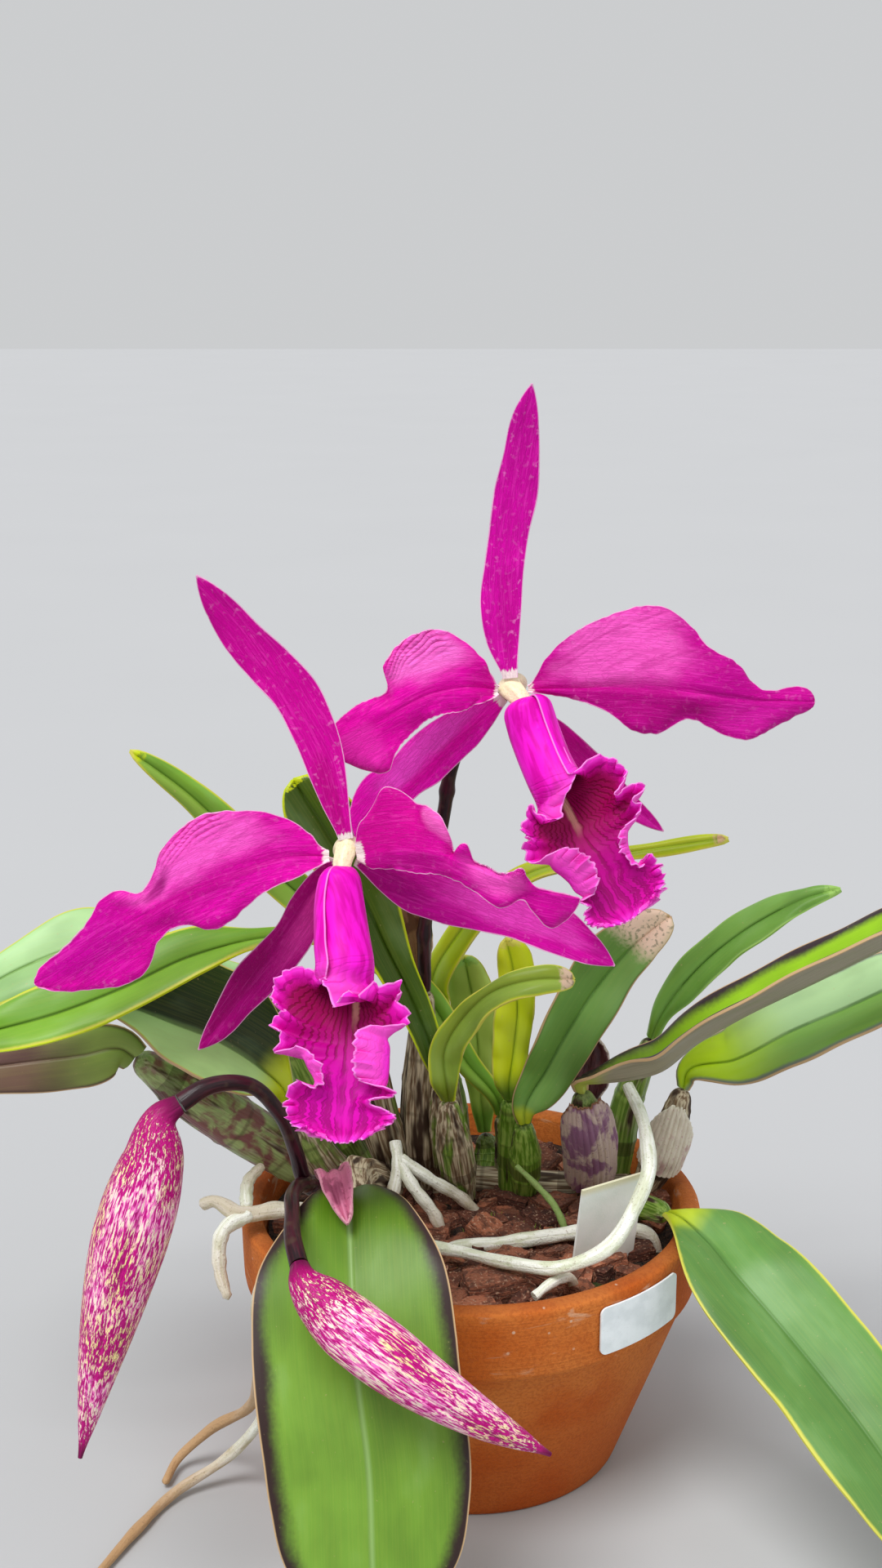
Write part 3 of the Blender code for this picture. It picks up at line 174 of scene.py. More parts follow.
class Look:
    """A node material put together in small steps."""

    def __init__(self, name, roughness, specular=0.5):
        self.material = bpy.data.materials.new(name)
        self.material.use_nodes = True
        self.tree = self.material.node_tree
        self.shader = self.tree.nodes["Principled BSDF"]
        self.set("Roughness", roughness)
        self.set("Specular IOR Level", specular)
        self.colour = None

    def set(self, name, value):
        self.feed(self.shader.inputs[name], value)

    def feed(self, socket, value):
        if isinstance(value, Value):
            self.tree.links.new(value.socket, socket)
        elif socket.type == "RGBA":
            socket.default_value = (*value, 1.0)
        else:
            socket.default_value = value

    def node(self, kind, output, inputs, **settings):
        """Adds a node with its settings, feeds its inputs and gives one of its outputs."""
        made = self.tree.nodes.new(kind)
        for key, value in settings.items():
            setattr(made, key, value)
        for key, value in inputs.items():
            self.feed(made.inputs[key], value)
        return Value(self, made.outputs[output])

    def sums(self, operation, *values):
        return self.node("ShaderNodeMath", 0, dict(enumerate(values)), operation=operation)

    def least(self, a, b):
        return self.sums("MINIMUM", a, b)

    def most(self, a, b):
        return self.sums("MAXIMUM", a, b)

    def mark(self, name):
        """A mark kept on the mesh's points: three numbers."""
        return self.node("ShaderNodeAttribute", "Vector", {}, attribute_name=name)

    def parts(self, vector):
        """The three numbers of a vector, or of the mark with that name."""
        if isinstance(vector, str):
            vector = self.mark(vector)
        first = self.node("ShaderNodeSeparateXYZ", 0, {0: vector})
        return [Value(self, socket) for socket in first.socket.node.outputs]

    def solid_place(self):
        """Coordinates in millimetres in the model's own frame."""
        return self.scaled(self.node("ShaderNodeTexCoord", "Object", {}), (1 / MM, 1 / MM, 1 / MM))

    def scaled(self, vector, factors):
        return self.node("ShaderNodeVectorMath", 0, {0: vector, 1: factors}, operation="MULTIPLY")

    def joined(self, *values):
        return self.node("ShaderNodeCombineXYZ", 0, dict(enumerate(values)))

    def texture(self, kind, output, vector, scale, inputs, **settings):
        """A texture over the vector; three numbers as its scale stretch it."""
        if isinstance(scale, tuple):
            vector, scale = self.scaled(vector, scale), 1.0
        return self.node(kind, output, {"Vector": vector, "Scale": scale, **inputs}, **settings)

    def noise(self, vector, scale, detail, distortion=0.0):
        grain = {"Detail": detail, "Distortion": distortion}
        return self.texture("ShaderNodeTexNoise", "Fac", vector, scale, grain)

    def cells(self, vector, scale, feature="F1"):
        return self.texture("ShaderNodeTexVoronoi", "Distance", vector, scale, {}, feature=feature)

    def mix(self, amount, a, b):
        return self.node("ShaderNodeMix", 2, {0: amount, 6: a, 7: b}, data_type="RGBA")

    def over(self, amount, colour):
        """Lays a colour over the look's colour so far."""
        self.colour = self.mix(amount, self.colour, colour)

    def done(self, height=None, depth=0.2):
        """Finishes the material; depth is the bump's height in millimetres."""
        self.set("Base Color", self.colour)
        if height is not None:
            self.set("Normal", self.node("ShaderNodeBump", 0, {"Distance": depth * MM, "Height": height}))
        return self.material


class Path:
    """A smooth curve through a few points, measured along its length."""

    def __init__(self, points, unit=MM):
        knots = [Vector(p) * unit for p in points]
        spans = [(b - a).length for a, b in zip(knots, knots[1:])]
        ways = [(b - a) / span for a, b, span in zip(knots, knots[1:], spans)]
        turns = [ways[0]]
        for i in range(1, len(spans)):
            turns.append((ways[i - 1] * spans[i] + ways[i] * spans[i - 1]) / (spans[i - 1] + spans[i]))
        turns.append(ways[-1])
        self.points = []
        for i, span in enumerate(spans):
            for k in range(CURVE_STEPS):
                t = k / CURVE_STEPS
                self.points.append(knots[i] * (2 * t ** 3 - 3 * t ** 2 + 1)
                                   + turns[i] * span * (t ** 3 - 2 * t ** 2 + t)
                                   + knots[i + 1] * (3 * t ** 2 - 2 * t ** 3)
                                   + turns[i + 1] * span * (t ** 3 - t ** 2))
        self.points.append(knots[-1])
        self.lengths = [0.0]
        for a, b in zip(self.points, self.points[1:]):
            self.lengths.append(self.lengths[-1] + (b - a).length)
        self.length = self.lengths[-1]

    def at(self, u):
        """The point at a part u of the length; outside 0 to 1 the curve runs on straight."""
        goal = u * self.length
        if goal <= 0.0:
            return self.points[0] + (self.points[1] - self.points[0]).normalized() * goal
        if goal >= self.length:
            onward = (self.points[-1] - self.points[-2]).normalized()
            return self.points[-1] + onward * (goal - self.length)
        high = bisect_right(self.lengths, goal)
        start = self.lengths[high - 1]
        part = (goal - start) / (self.lengths[high] - start)
        return self.points[high - 1].lerp(self.points[high], part)

    def tangent(self, u):
        ahead = self.at(min(1.0, u + TANGENT_STEP))
        return (ahead - self.at(max(0.0, u - TANGENT_STEP))).normalized()


def squared(vector, along):
    """The vector turned square to the way along, with length 1."""
    return (vector - vector.dot(along) * along).normalized()


def around(radius, angle, height=0.0):
    """A point at a radius and an angle about the Z axis."""
    return Vector((radius * math.cos(angle), radius * math.sin(angle), height))


def joined(points, bearer):
    """Points of a piece that stands on the end of another, a small gap away from it."""
    end = bearer.at(1.0)
    along = bearer.tangent(1.0)
    first = (end + along * SEAT_GAP) / MM
    second = (end + along * SEAT_RUN) / MM
    return [first, second] + list(points)


def smooth_step(a, b, c, d, t):
    """The value a part t of the way from b to c, on a smooth curve that a and d steer."""
    square = (2 * a - 5 * b + 4 * c - d) * t ** 2
    return 0.5 * (2 * b + (c - a) * t + square + (3 * b - a - 3 * c + d) * t ** 3)


def spread(values, u):
    """A smooth value at u from values spaced evenly over 0 to 1."""
    if not isinstance(values, (tuple, list)):
        return values
    place = min(max(u, 0.0), 1.0) * (len(values) - 1)
    i = min(int(place), len(values) - 2)
    t = place - i
    a = values[max(i - 1, 0)]
    b = values[i]
    c = values[i + 1]
    d = values[min(i + 2, len(values) - 1)]
    return min(max(smooth_step(a, b, c, d, t), min(b, c)), max(b, c))


def rounded(values, u, point):
    """Half width at u, drawn in to a tip over the last span: point 0.5 is round and 1 is sharp."""
    last = len(values) - 1
    start = 1 - 1 / last
    if u <= start:
        return spread(values, u)
    t = (u - start) / (1 - start)
    return max(0.12, spread(values[:-1] + (values[-2] * 0.8,), u) * (1 - t ** (1.6 / point)) ** point)


def uneven(x, y, z):
    """Soft noise between about -1 and 1."""
    return noise.noise(Vector((x, y, z)))


def ease(value, low, high):
    """0 at low and 1 at high, smooth in between; low may be the larger."""
    t = min(max((value - low) / (high - low), 0.0), 1.0)
    return t * t * (3 - 2 * t)


def placed(name, data):
    """A new object in the scene."""
    item = bpy.data.objects.new(name, data)
    bpy.context.scene.collection.objects.link(item)
    return item


def add_piece(name, made, look, stands_for=(), corner=60):
    """A piece from its points, faces and marks, with the solids that it stands for."""
    verts, faces, marks = made
    mesh = bpy.data.meshes.new(name)
    mesh.from_pydata([tuple(v) for v in verts], [], faces)
    for mark, values in marks.items():
        layer = mesh.attributes.new(mark, "FLOAT_VECTOR", "POINT")
        layer.data.foreach_set("vector", [number for value in values for number in value])
    mesh.materials.append(look)
    mesh.shade_smooth()
    mesh.set_sharp_from_angle(angle=math.radians(corner))
    item = placed(name, mesh)
    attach(item, "root")
    if stands_for:
        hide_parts(*stands_for)
    return item


class Mesh:
    """Points, faces and marks gathered from several closed forms."""

    def __init__(self):
        self.verts = []
        self.faces = []
        self.marks = {}

    def take(self, verts, faces, marks):
        start = len(self.verts)
        self.verts += verts
        self.faces += [tuple(k + start for k in face) for face in faces]
        for mark, values in marks.items():
            self.marks.setdefault(mark, []).extend(values)

    def piece(self, name, look, stands_for=(), corner=60):
        return add_piece(name, (self.verts, self.faces, self.marks), look, stands_for, corner)


def sheet_point(path, facing, plus, minus, u, v, roll, fold, wave, point):
    """A point of a leaf, petal or sheath, and its half width: v runs from -1 to 1 across it."""
    centre = path.at(u)
    along = path.tangent(u)
    normal = squared(Vector(facing), along)
    side = along.cross(normal)
    half = rounded(plus if v >= 0 else minus, u, point) * MM
    turn = math.radians(spread(roll, u))
    if turn > 0.02:
        radius = half / turn
        across = radius * math.sin(turn * abs(v))
        rise = radius * (1 - math.cos(turn * abs(v)))
    else:
        across = half * abs(v)
        rise = 0.0
    lean = math.radians(spread(fold, u))
    across, rise = (across * math.cos(lean) - rise * math.sin(lean),
                    across * math.sin(lean) + rise * math.cos(lean))
    if wave is not None:
        step = wave(u, v)
        rise += step[0]
        across += step[1]
    return centre + side * (across if v >= 0 else -across) + normal * rise, half


def skins(grid, halves, length, thickness, rim, seed):
    """Both skins of a sheet and its rim, with the marks that the materials read."""
    rows = len(grid)
    columns = len(grid[0])
    count = rows * columns
    front, back, place, part, edge = [], [], [], [], []
    for i in range(rows):
        for j in range(columns):
            along = grid[min(i + 1, rows - 1)][j] - grid[max(i - 1, 0)][j]
            across = grid[i][min(j + 1, columns - 1)] - grid[i][max(j - 1, 0)]
            u = i / (rows - 1)
            v = -1 + 2 * j / (columns - 1)
            half = halves[i][j] / MM
            near = min(half * (1 - abs(v)), (1 - u) * length / MM)
            thin = thickness * (rim + (1 - rim) * min(1.0, near / EDGE_TAPER))
            normal = along.cross(across).normalized() * (thin / 2)
            front.append(grid[i][j] + normal)
            back.append(grid[i][j] - normal)
            place.append((u * length / MM, v * half, seed))
            part.append((u, v, 0.0))
            edge.append((near, (1 - u) * length / MM, half))
    faces = []
    for i in range(rows - 1):
        for j in range(columns - 1):
            a = i * columns + j
            b = a + 1
            c = a + columns + 1
            d = a + columns
            faces.append((a, d, c, b))
            faces.append((a + count, b + count, c + count, d + count))
    ring = list(range(columns))
    ring += [i * columns + columns - 1 for i in range(1, rows)]
    ring += [(rows - 1) * columns + j for j in range(columns - 2, -1, -1)]
    ring += [i * columns for i in range(rows - 2, 0, -1)]
    for k, a in enumerate(ring):
        b = ring[(k + 1) % len(ring)]
        faces.append((a, b, b + count, a + count))
    upper = [(u, v, 1.0) for u, v, _ in part]
    marks = {"place": place + place, "part": part + upper, "edge": edge + edge}
    return front + back, faces, marks


def sheet_grid(rows, columns, place):
    """Two grids from place(u, v), with u from 0 to 1 and v from -1 to 1: its points and its second values."""
    made = [[place(i / rows, 2 * j / columns - 1) for j in range(columns + 1)] for i in range(rows + 1)]
    return [[spot for spot, _ in row] for row in made], [[value for _, value in row] for row in made]


def blade(points, facing, plus, minus, thickness, rows, columns, roll=0.0, fold=0.0, wave=None, point=0.7,
          rim=0.35, seed=0.0):
    """A leaf, petal or sheath as two skins and a rim."""
    path = Path(points)

    def place(u, v):
        return sheet_point(path, facing, plus, minus, u, v, roll, fold, wave, point)

    return skins(*sheet_grid(rows, columns, place), path.length, thickness, rim, seed)


def round_tube(points, radii, sides, rings, relief=None, blunt=(False, False), seed=0.0, tint=(0, 0, 0)):
    """A tube, stem, bulb or bud; relief(u, angle) adds to its radius, and blunt rounds its ends."""
    path = Path(points)
    verts, faces, place, part = [], [], [], []
    side = path.tangent(0.0).orthogonal().normalized()
    for i in range(rings + 1):
        u = i / rings
        centre = path.at(u)
        along = path.tangent(u)
        side = squared(side, along)
        other = along.cross(side)
        full = spread(radii, u) * MM
        for k, end in enumerate((u, 1 - u)):
            gone = end * path.length
            if blunt[k] and gone < full:
                full *= max(0.06, math.sqrt(max(0.0, 1 - (1 - gone / full) ** 2)))
        for k in range(sides):
            angle = math.tau * k / sides
            radius = full * (1 + (relief(u, angle) if relief else 0.0))
            verts.append(centre + side * (radius * math.cos(angle)) + other * (radius * math.sin(angle)))
            spot = around(full / MM, angle)
            place.append((u * path.length / MM, spot.x, spot.y + seed))
            part.append((u, k / sides, seed))
    for i in range(rings):
        for k in range(sides):
            a = i * sides + k
            b = i * sides + (k + 1) % sides
            faces.append((a, b, b + sides, a + sides))
    faces.append(tuple(range(sides))[::-1])
    faces.append(tuple(rings * sides + k for k in range(sides)))
    edge = [(u * path.length / MM, (1 - u) * path.length / MM, spread(radii, u)) for u, _, _ in part]
    return verts, faces, {"place": place, "part": part, "edge": edge, "tint": [tint] * len(verts)}


# Leaves: the bulb that carries each, the way it faces, how far its halves lean up in degrees, how sharp
# its tip is, points along its middle, and its half widths on the plus and minus sides from base to tip.
LEAVES = {
    "leaf_01": ("front", UPWARD, 8, 0.5, [(-33, -60, 111), (-33, -78, 115), (-32, -95, 106),
        (-30, -111, 85), (-27, -120, 65), (-26, -127, 42), (-25, -130, 23)],
        (2, 6, 14, 24, 26, 26, 25, 20, 3), (2, 7, 16, 24, 26, 26, 25, 20, 3)),
    "leaf_02": ("right_low", (0.1, -0.6, 0.8), 12, 0.6, [(67, -34, 83), (74, -48, 79), (84, -60, 71),
        (94, -71, 62), (105, -86, 52), (116, -99, 39), (127, -109, 23)], (2, 10, 15, 17, 17, 18, 17, 13, 2),
        (2, 14, 18, 19, 19, 18, 16, 11, 2)),
    "leaf_03": ("behind_lip", UPWARD, 14, 0.6, [(-47, -14, 168), (-62, -20, 169), (-80, -26, 166),
        (-98, -32, 159), (-116, -36, 153), (-132, -38, 149), (-150, -38, 144)],
        (2, 3, 4.5, 9, 10, 9.5, 9.5, 6.5, 1), (2, 2.5, 3, 7.5, 9, 9.5, 9.5, 7, 1)),
    "leaf_04": ("left_low", UPWARD, 16, 0.7, [(-62, -12, 126), (-73, -16, 136), (-87, -20, 144),
        (-100, -24, 151), (-112, -27, 156)], (2, 9, 18, 22, 22, 19, 15, 9, 1),
        (2, 7, 13, 17, 17, 14, 8, 4, 1)),
    "leaf_05": ("far_left", UPWARD, 12, 0.7, [(-79, 18, 146), (-98, 15, 154), (-117, 11, 156),
        (-134, 7, 151), (-151, 4, 142), (-166, 2, 132)], (2, 4, 6, 9, 13, 10, 7, 4, 1),
        (2, 5, 8, 11, 12, 11, 9, 6, 1)),
    "leaf_06": ("left_mottled", (0, -1, 0.2), 10, 0.7, [(-113, -19, 134), (-128, -19, 132),
        (-144, -19, 130), (-164, -18, 127), (-184, -16, 123)], (5, 8.5, 8.5, 7.5, 6, 5, 4, 3, 1),
        (5, 9, 9.5, 9, 8, 7, 5, 3, 1)),
    "leaf_07": ("centre_one", VIEWER, 12, 0.6, [(-1, 15, 117), (-14, 16, 139), (-31, 14, 155),
        (-51, 10, 173), (-67, 5, 190), (-82, 0, 207), (-98, -4, 221)], (2, 4, 4.5, 4.5, 5, 6, 6, 4.5, 1),
        (2, 3.5, 4, 5, 6, 6, 5, 3.5, 1)),
    "leaf_08": ("middle_left", VIEWER, 10, 0.5, [(-17, -4, 144), (-25, -3, 161), (-33, -2, 179),
        (-42, 0, 195), (-52, 2, 211)], (2, 3.5, 4.5, 5.5, 8, 10, 11.5, 11, 4), (2, 4, 5, 6, 7, 8, 9, 9, 4)),
    "leaf_09": ("middle_back", (0, -0.5, 0.85), 12, 0.5, [(-12, 21, 139), (-4, 20, 156), (16, 18, 176),
        (38, 14, 183), (57, 11, 187), (76, 8, 191)], (2, 5, 6, 6, 5, 4, 3.5, 3, 1),
        (2, 3, 4, 4, 4, 4, 3, 3, 1)),
    "leaf_10": ("centre_two", (0.2, -0.8, 0.4), 12, 0.5, [(22, -3, 122), (30, -6, 139), (40, -9, 156),
        (49, -11, 167), (57, -12, 174)], (2, 7, 9, 9.5, 9.5, 9, 7.5, 6.5, 2),
        (2, 5, 7, 8, 9, 10, 11, 8, 2)),
    "leaf_11": ("middle_front", (0, -0.7, 0.7), 10, 0.5, [(-8, -12, 131), (-3, -16, 143), (7, -20, 154),
        (19, -22, 158), (29, -22, 158)], (2, 4, 5.5, 6, 6, 5.5, 5.5, 4.5, 1),
        (2, 4.5, 4.5, 4, 3.5, 3, 4, 4.5, 1)),
    "leaf_12": ("centre_three", (0, -0.9, 0.3), 14, 0.5, [(13, 6, 124), (14, 5, 140), (12, 4, 154),
        (10, 3, 162)], (2, 4, 4.5, 4.5, 5, 5.5, 6.5, 6.5, 2), (2, 5, 6.5, 7, 7.5, 6.5, 5, 4, 2)),
    "leaf_13": ("short_back", (0, -0.9, 0.3), 8, 0.5, [(3, 29, 112), (1, 28, 132), (-2, 26, 148)],
        (2, 4, 4, 4, 5, 6, 7, 6, 2), (2, 3, 4, 5.5, 6, 7, 7, 6.5, 2)),
    "leaf_14": ("right_back", UPWARD, 12, 0.8, [(63, 12, 141), (75, 9, 156), (88, 6, 167), (100, 4, 174),
        (109, 3, 177)], (2, 3, 5.5, 6.5, 6.5, 7, 6, 3.5, 1), (2, 4, 5.5, 6, 6, 6.5, 5.5, 3.5, 1)),
    "leaf_15": ("purple", (-0.4, 0.1, 0.9), (15, 58, 42, 38, 36, 36, 34, 30, 25), 0.7,
        [(38, -15, 124), (47, -17, 126), (54, -19, 129), (64, -22, 139), (75, -26, 148), (96, -34, 163),
        (112, -39, 174), (128, -43, 184), (145, -46, 194)], (2, 7, 8.5, 9.5, 10, 10, 9.5, 7, 1),
        (2, 8, 10, 11, 12, 13, 13, 9, 1)),
    "leaf_16": ("right", UPWARD, 16, 0.7, [(80, 2, 123), (95, -5, 135), (110, -11, 145), (125, -16, 155),
        (143, -20, 164)], (2, 7, 10.5, 12.5, 13.5, 12.5, 12, 9, 1), (2, 9, 12, 11.5, 12, 12, 11.5, 8, 1)),
}

# Leaf colours. The plus side of a leaf is its left seen from the base with the upper side up.
GREEN = shade(112, 154, 50)
DEEP = shade(40, 66, 18)
LIGHT = shade(148, 190, 92)
PALE = shade(176, 216, 152)
LIME = shade(192, 210, 20)
GOLD = shade(206, 204, 84)
TAN = shade(196, 164, 122)
DRY = shade(214, 190, 160)
WINE = shade(52, 36, 34)
OLIVE = shade(106, 124, 24)
PLUM = shade(104, 78, 78)
SLATE = shade(118, 128, 116)

# For each leaf: its colours on the plus and minus sides, under it, along the margin with its width,
# on the rim, along the midrib, over its base with its length, and at the tip with its length.
LEAF_COLOURS = {
    "leaf_01": (shade(120, 164, 56), GREEN, LIGHT, WINE, 6.0, TAN, shade(158, 192, 124), shade(84, 124, 14),
        84, WINE, 6),
    "leaf_02": (shade(92, 136, 66), shade(98, 146, 70), LIGHT, GOLD, 1.0, GOLD, shade(76, 118, 52), LIME,
        12, GREEN, 2),
    "leaf_03": (shade(108, 158, 42), shade(122, 170, 50), LIGHT, GOLD, 1.2, LIME, DEEP, GREEN, 8, LIGHT,
        12),
    # leaf_04's halves are painted light: the dark plus side is painted shadow cast by the leaf above, the
    # pale minus side its lit green.
    "leaf_04": (shade(28, 48, 8), shade(188, 230, 146), LIGHT, LIME, 0.8, TAN, shade(60, 92, 30), LIME, 16,
        DEEP, 3),
    "leaf_05": (PALE, shade(150, 190, 124), PALE, LIGHT, 0.8, GOLD, GREEN, GREEN, 8, LIGHT, 6),
    "leaf_06": (shade(120, 86, 82), shade(124, 94, 80), LIGHT, shade(84, 62, 56), 1.5, TAN,
        shade(120, 96, 84), shade(150, 172, 84), 34, PLUM, 4),
    "leaf_07": (shade(122, 176, 54), shade(148, 192, 72), LIGHT, LIME, 0.7, GOLD, shade(72, 112, 34), GREEN,
        8, LIME, 5),
    "leaf_08": (shade(66, 96, 8), shade(54, 82, 8), GREEN, LIME, 0.9, LIME, DEEP, GREEN, 10, LIME, 2),
    "leaf_09": (shade(160, 186, 24), shade(182, 200, 34), LIGHT, LIME, 1.2, GOLD, GREEN, GREEN, 30, TAN, 5),
    "leaf_10": (shade(122, 170, 82), shade(106, 154, 66), OLIVE, shade(80, 116, 46), 0.8, TAN,
        shade(94, 138, 66), LIME, 6, shade(238, 212, 184), 17),
    "leaf_11": (shade(146, 178, 66), shade(140, 166, 50), LIGHT, LIME, 0.9, GOLD, OLIVE, OLIVE, 9, DRY, 5),
    "leaf_12": (shade(204, 222, 28), shade(216, 230, 34), LIME, LIME, 0.5, GOLD, GREEN, GREEN, 10, GOLD, 3),
    # leaf_13's colours are lightened as painted light, to offset the shade it lies in.
    "leaf_13": (shade(196, 222, 110), shade(184, 214, 98), shade(196, 222, 110), LIGHT, 0.6, GOLD, GREEN,
        GREEN, 12, LIGHT, 3),
    "leaf_14": (shade(110, 160, 64), shade(122, 172, 76), LIGHT, shade(124, 168, 88), 0.9, LIGHT,
        shade(92, 140, 58), GREEN, 9, LIGHT, 5),
    "leaf_15": (shade(150, 200, 22), shade(146, 196, 26), shade(152, 144, 122), shade(52, 38, 42), 5.5, TAN,
        LIME, LIME, 14, OLIVE, 4),
    # leaf_16's pale mint minus side is painted sheen.
    "leaf_16": (shade(128, 178, 74), shade(180, 218, 160), SLATE, SLATE, 1.6, TAN, shade(46, 92, 22),
        shade(176, 212, 24), 44, GREEN, 8),
}


def leaf_look(name, plus, minus, under, margin, margin_width, rim, rib, base, base_length, tip, tip_length):
    """A leaf: mottled green, painted sheen patches, streaks, a coloured margin, rim, midrib, base and tip."""
    look = Look(name, 0.36, 0.26)
    place = look.mark("place")
    far, aside, _ = look.parts(place)
    _, v, upper = look.parts("part")
    near, left, _ = look.parts("edge")
    blotch = look.noise(place, (0.035, 0.075, 1.0), 3.0)
    streak = look.noise(place, (0.03, 2.2, 1.0), 2.0)
    fleck = look.noise(place, 0.9, 4.0)
    look.colour = look.mix(v.between(-0.1, 0.1), minus, plus)
    base_part = (far + (blotch - 0.5) * 14.0).between(base_length, base_length * 0.3)
    look.over(base_part, base)
    look.over(blotch.between(0.38, 0.72) * 0.3, DEEP)
    # Painted sheen: pale mint patches where the blotch noise is low.
    look.over(blotch.between(0.46, 0.28) * 0.12, PALE)
    look.over(streak.between(0.42, 0.62) * 0.035, GOLD)
    ribbed = abs(aside).between(1.3, 0.1)
    look.over(ribbed * 0.5, rib)
    ragged = near + (blotch - 0.5) * (margin_width * 1.1)
    ragged = ragged + (fleck - 0.5) * (margin_width * 0.25)
    look.over(ragged.between(margin_width, margin_width * 0.25), margin)
    tip_part = (left + (fleck - 0.5) * 5.0).between(tip_length, tip_length * 0.55)
    look.over(tip_part, look.mix(fleck.between(0.52, 0.64), tip, look.mix(0.5, tip, DEEP)))
    below = look.mix(streak.between(0.4, 0.65), under, look.mix(0.15, under, DEEP))
    below = look.mix(base_part * 0.6, below, base)
    look.colour = look.mix(upper, below, look.colour)
    look.over(near.between(0.55, 0.15), rim)
    look.over(fleck.between(0.68, 0.76) * 0.35, TAN)
    height = streak * 0.05 + abs(aside).between(0.0, 1.2)
    height = height + fleck * 0.05
    look.set("Roughness", blotch * 0.2 + 0.3)
    return look.done(height, 0.28)


def leaf_wave(u, v):
    """A leaf's low crown beside its midrib and the slow and quick waves of its margin."""
    reach = abs(v)
    crown = 0.0006 * math.sin(math.pi * min(1.0, reach))
    slow = 0.0007 * reach ** 2 * math.sin(9.0 * u + 2.0 * v)
    return slow + crown + 0.0003 * reach * math.sin(31.0 * u + 3.0 * v), 0.0


def make_leaves():
    for number, (name, (bulb, facing, fold, point, middle, plus, minus)) in enumerate(LEAVES.items()):
        points = joined(middle, Path(BULBS[bulb][0]))
        look = leaf_look(name + "_green", *LEAF_COLOURS[name])
        made = blade(points, facing, plus, minus, LEAF_THICKNESS, *LEAF_GRID,
                     fold=fold, wave=leaf_wave, point=point, rim=0.4, seed=7.3 * number)
        add_piece(name + "_blade", made, look, [name])


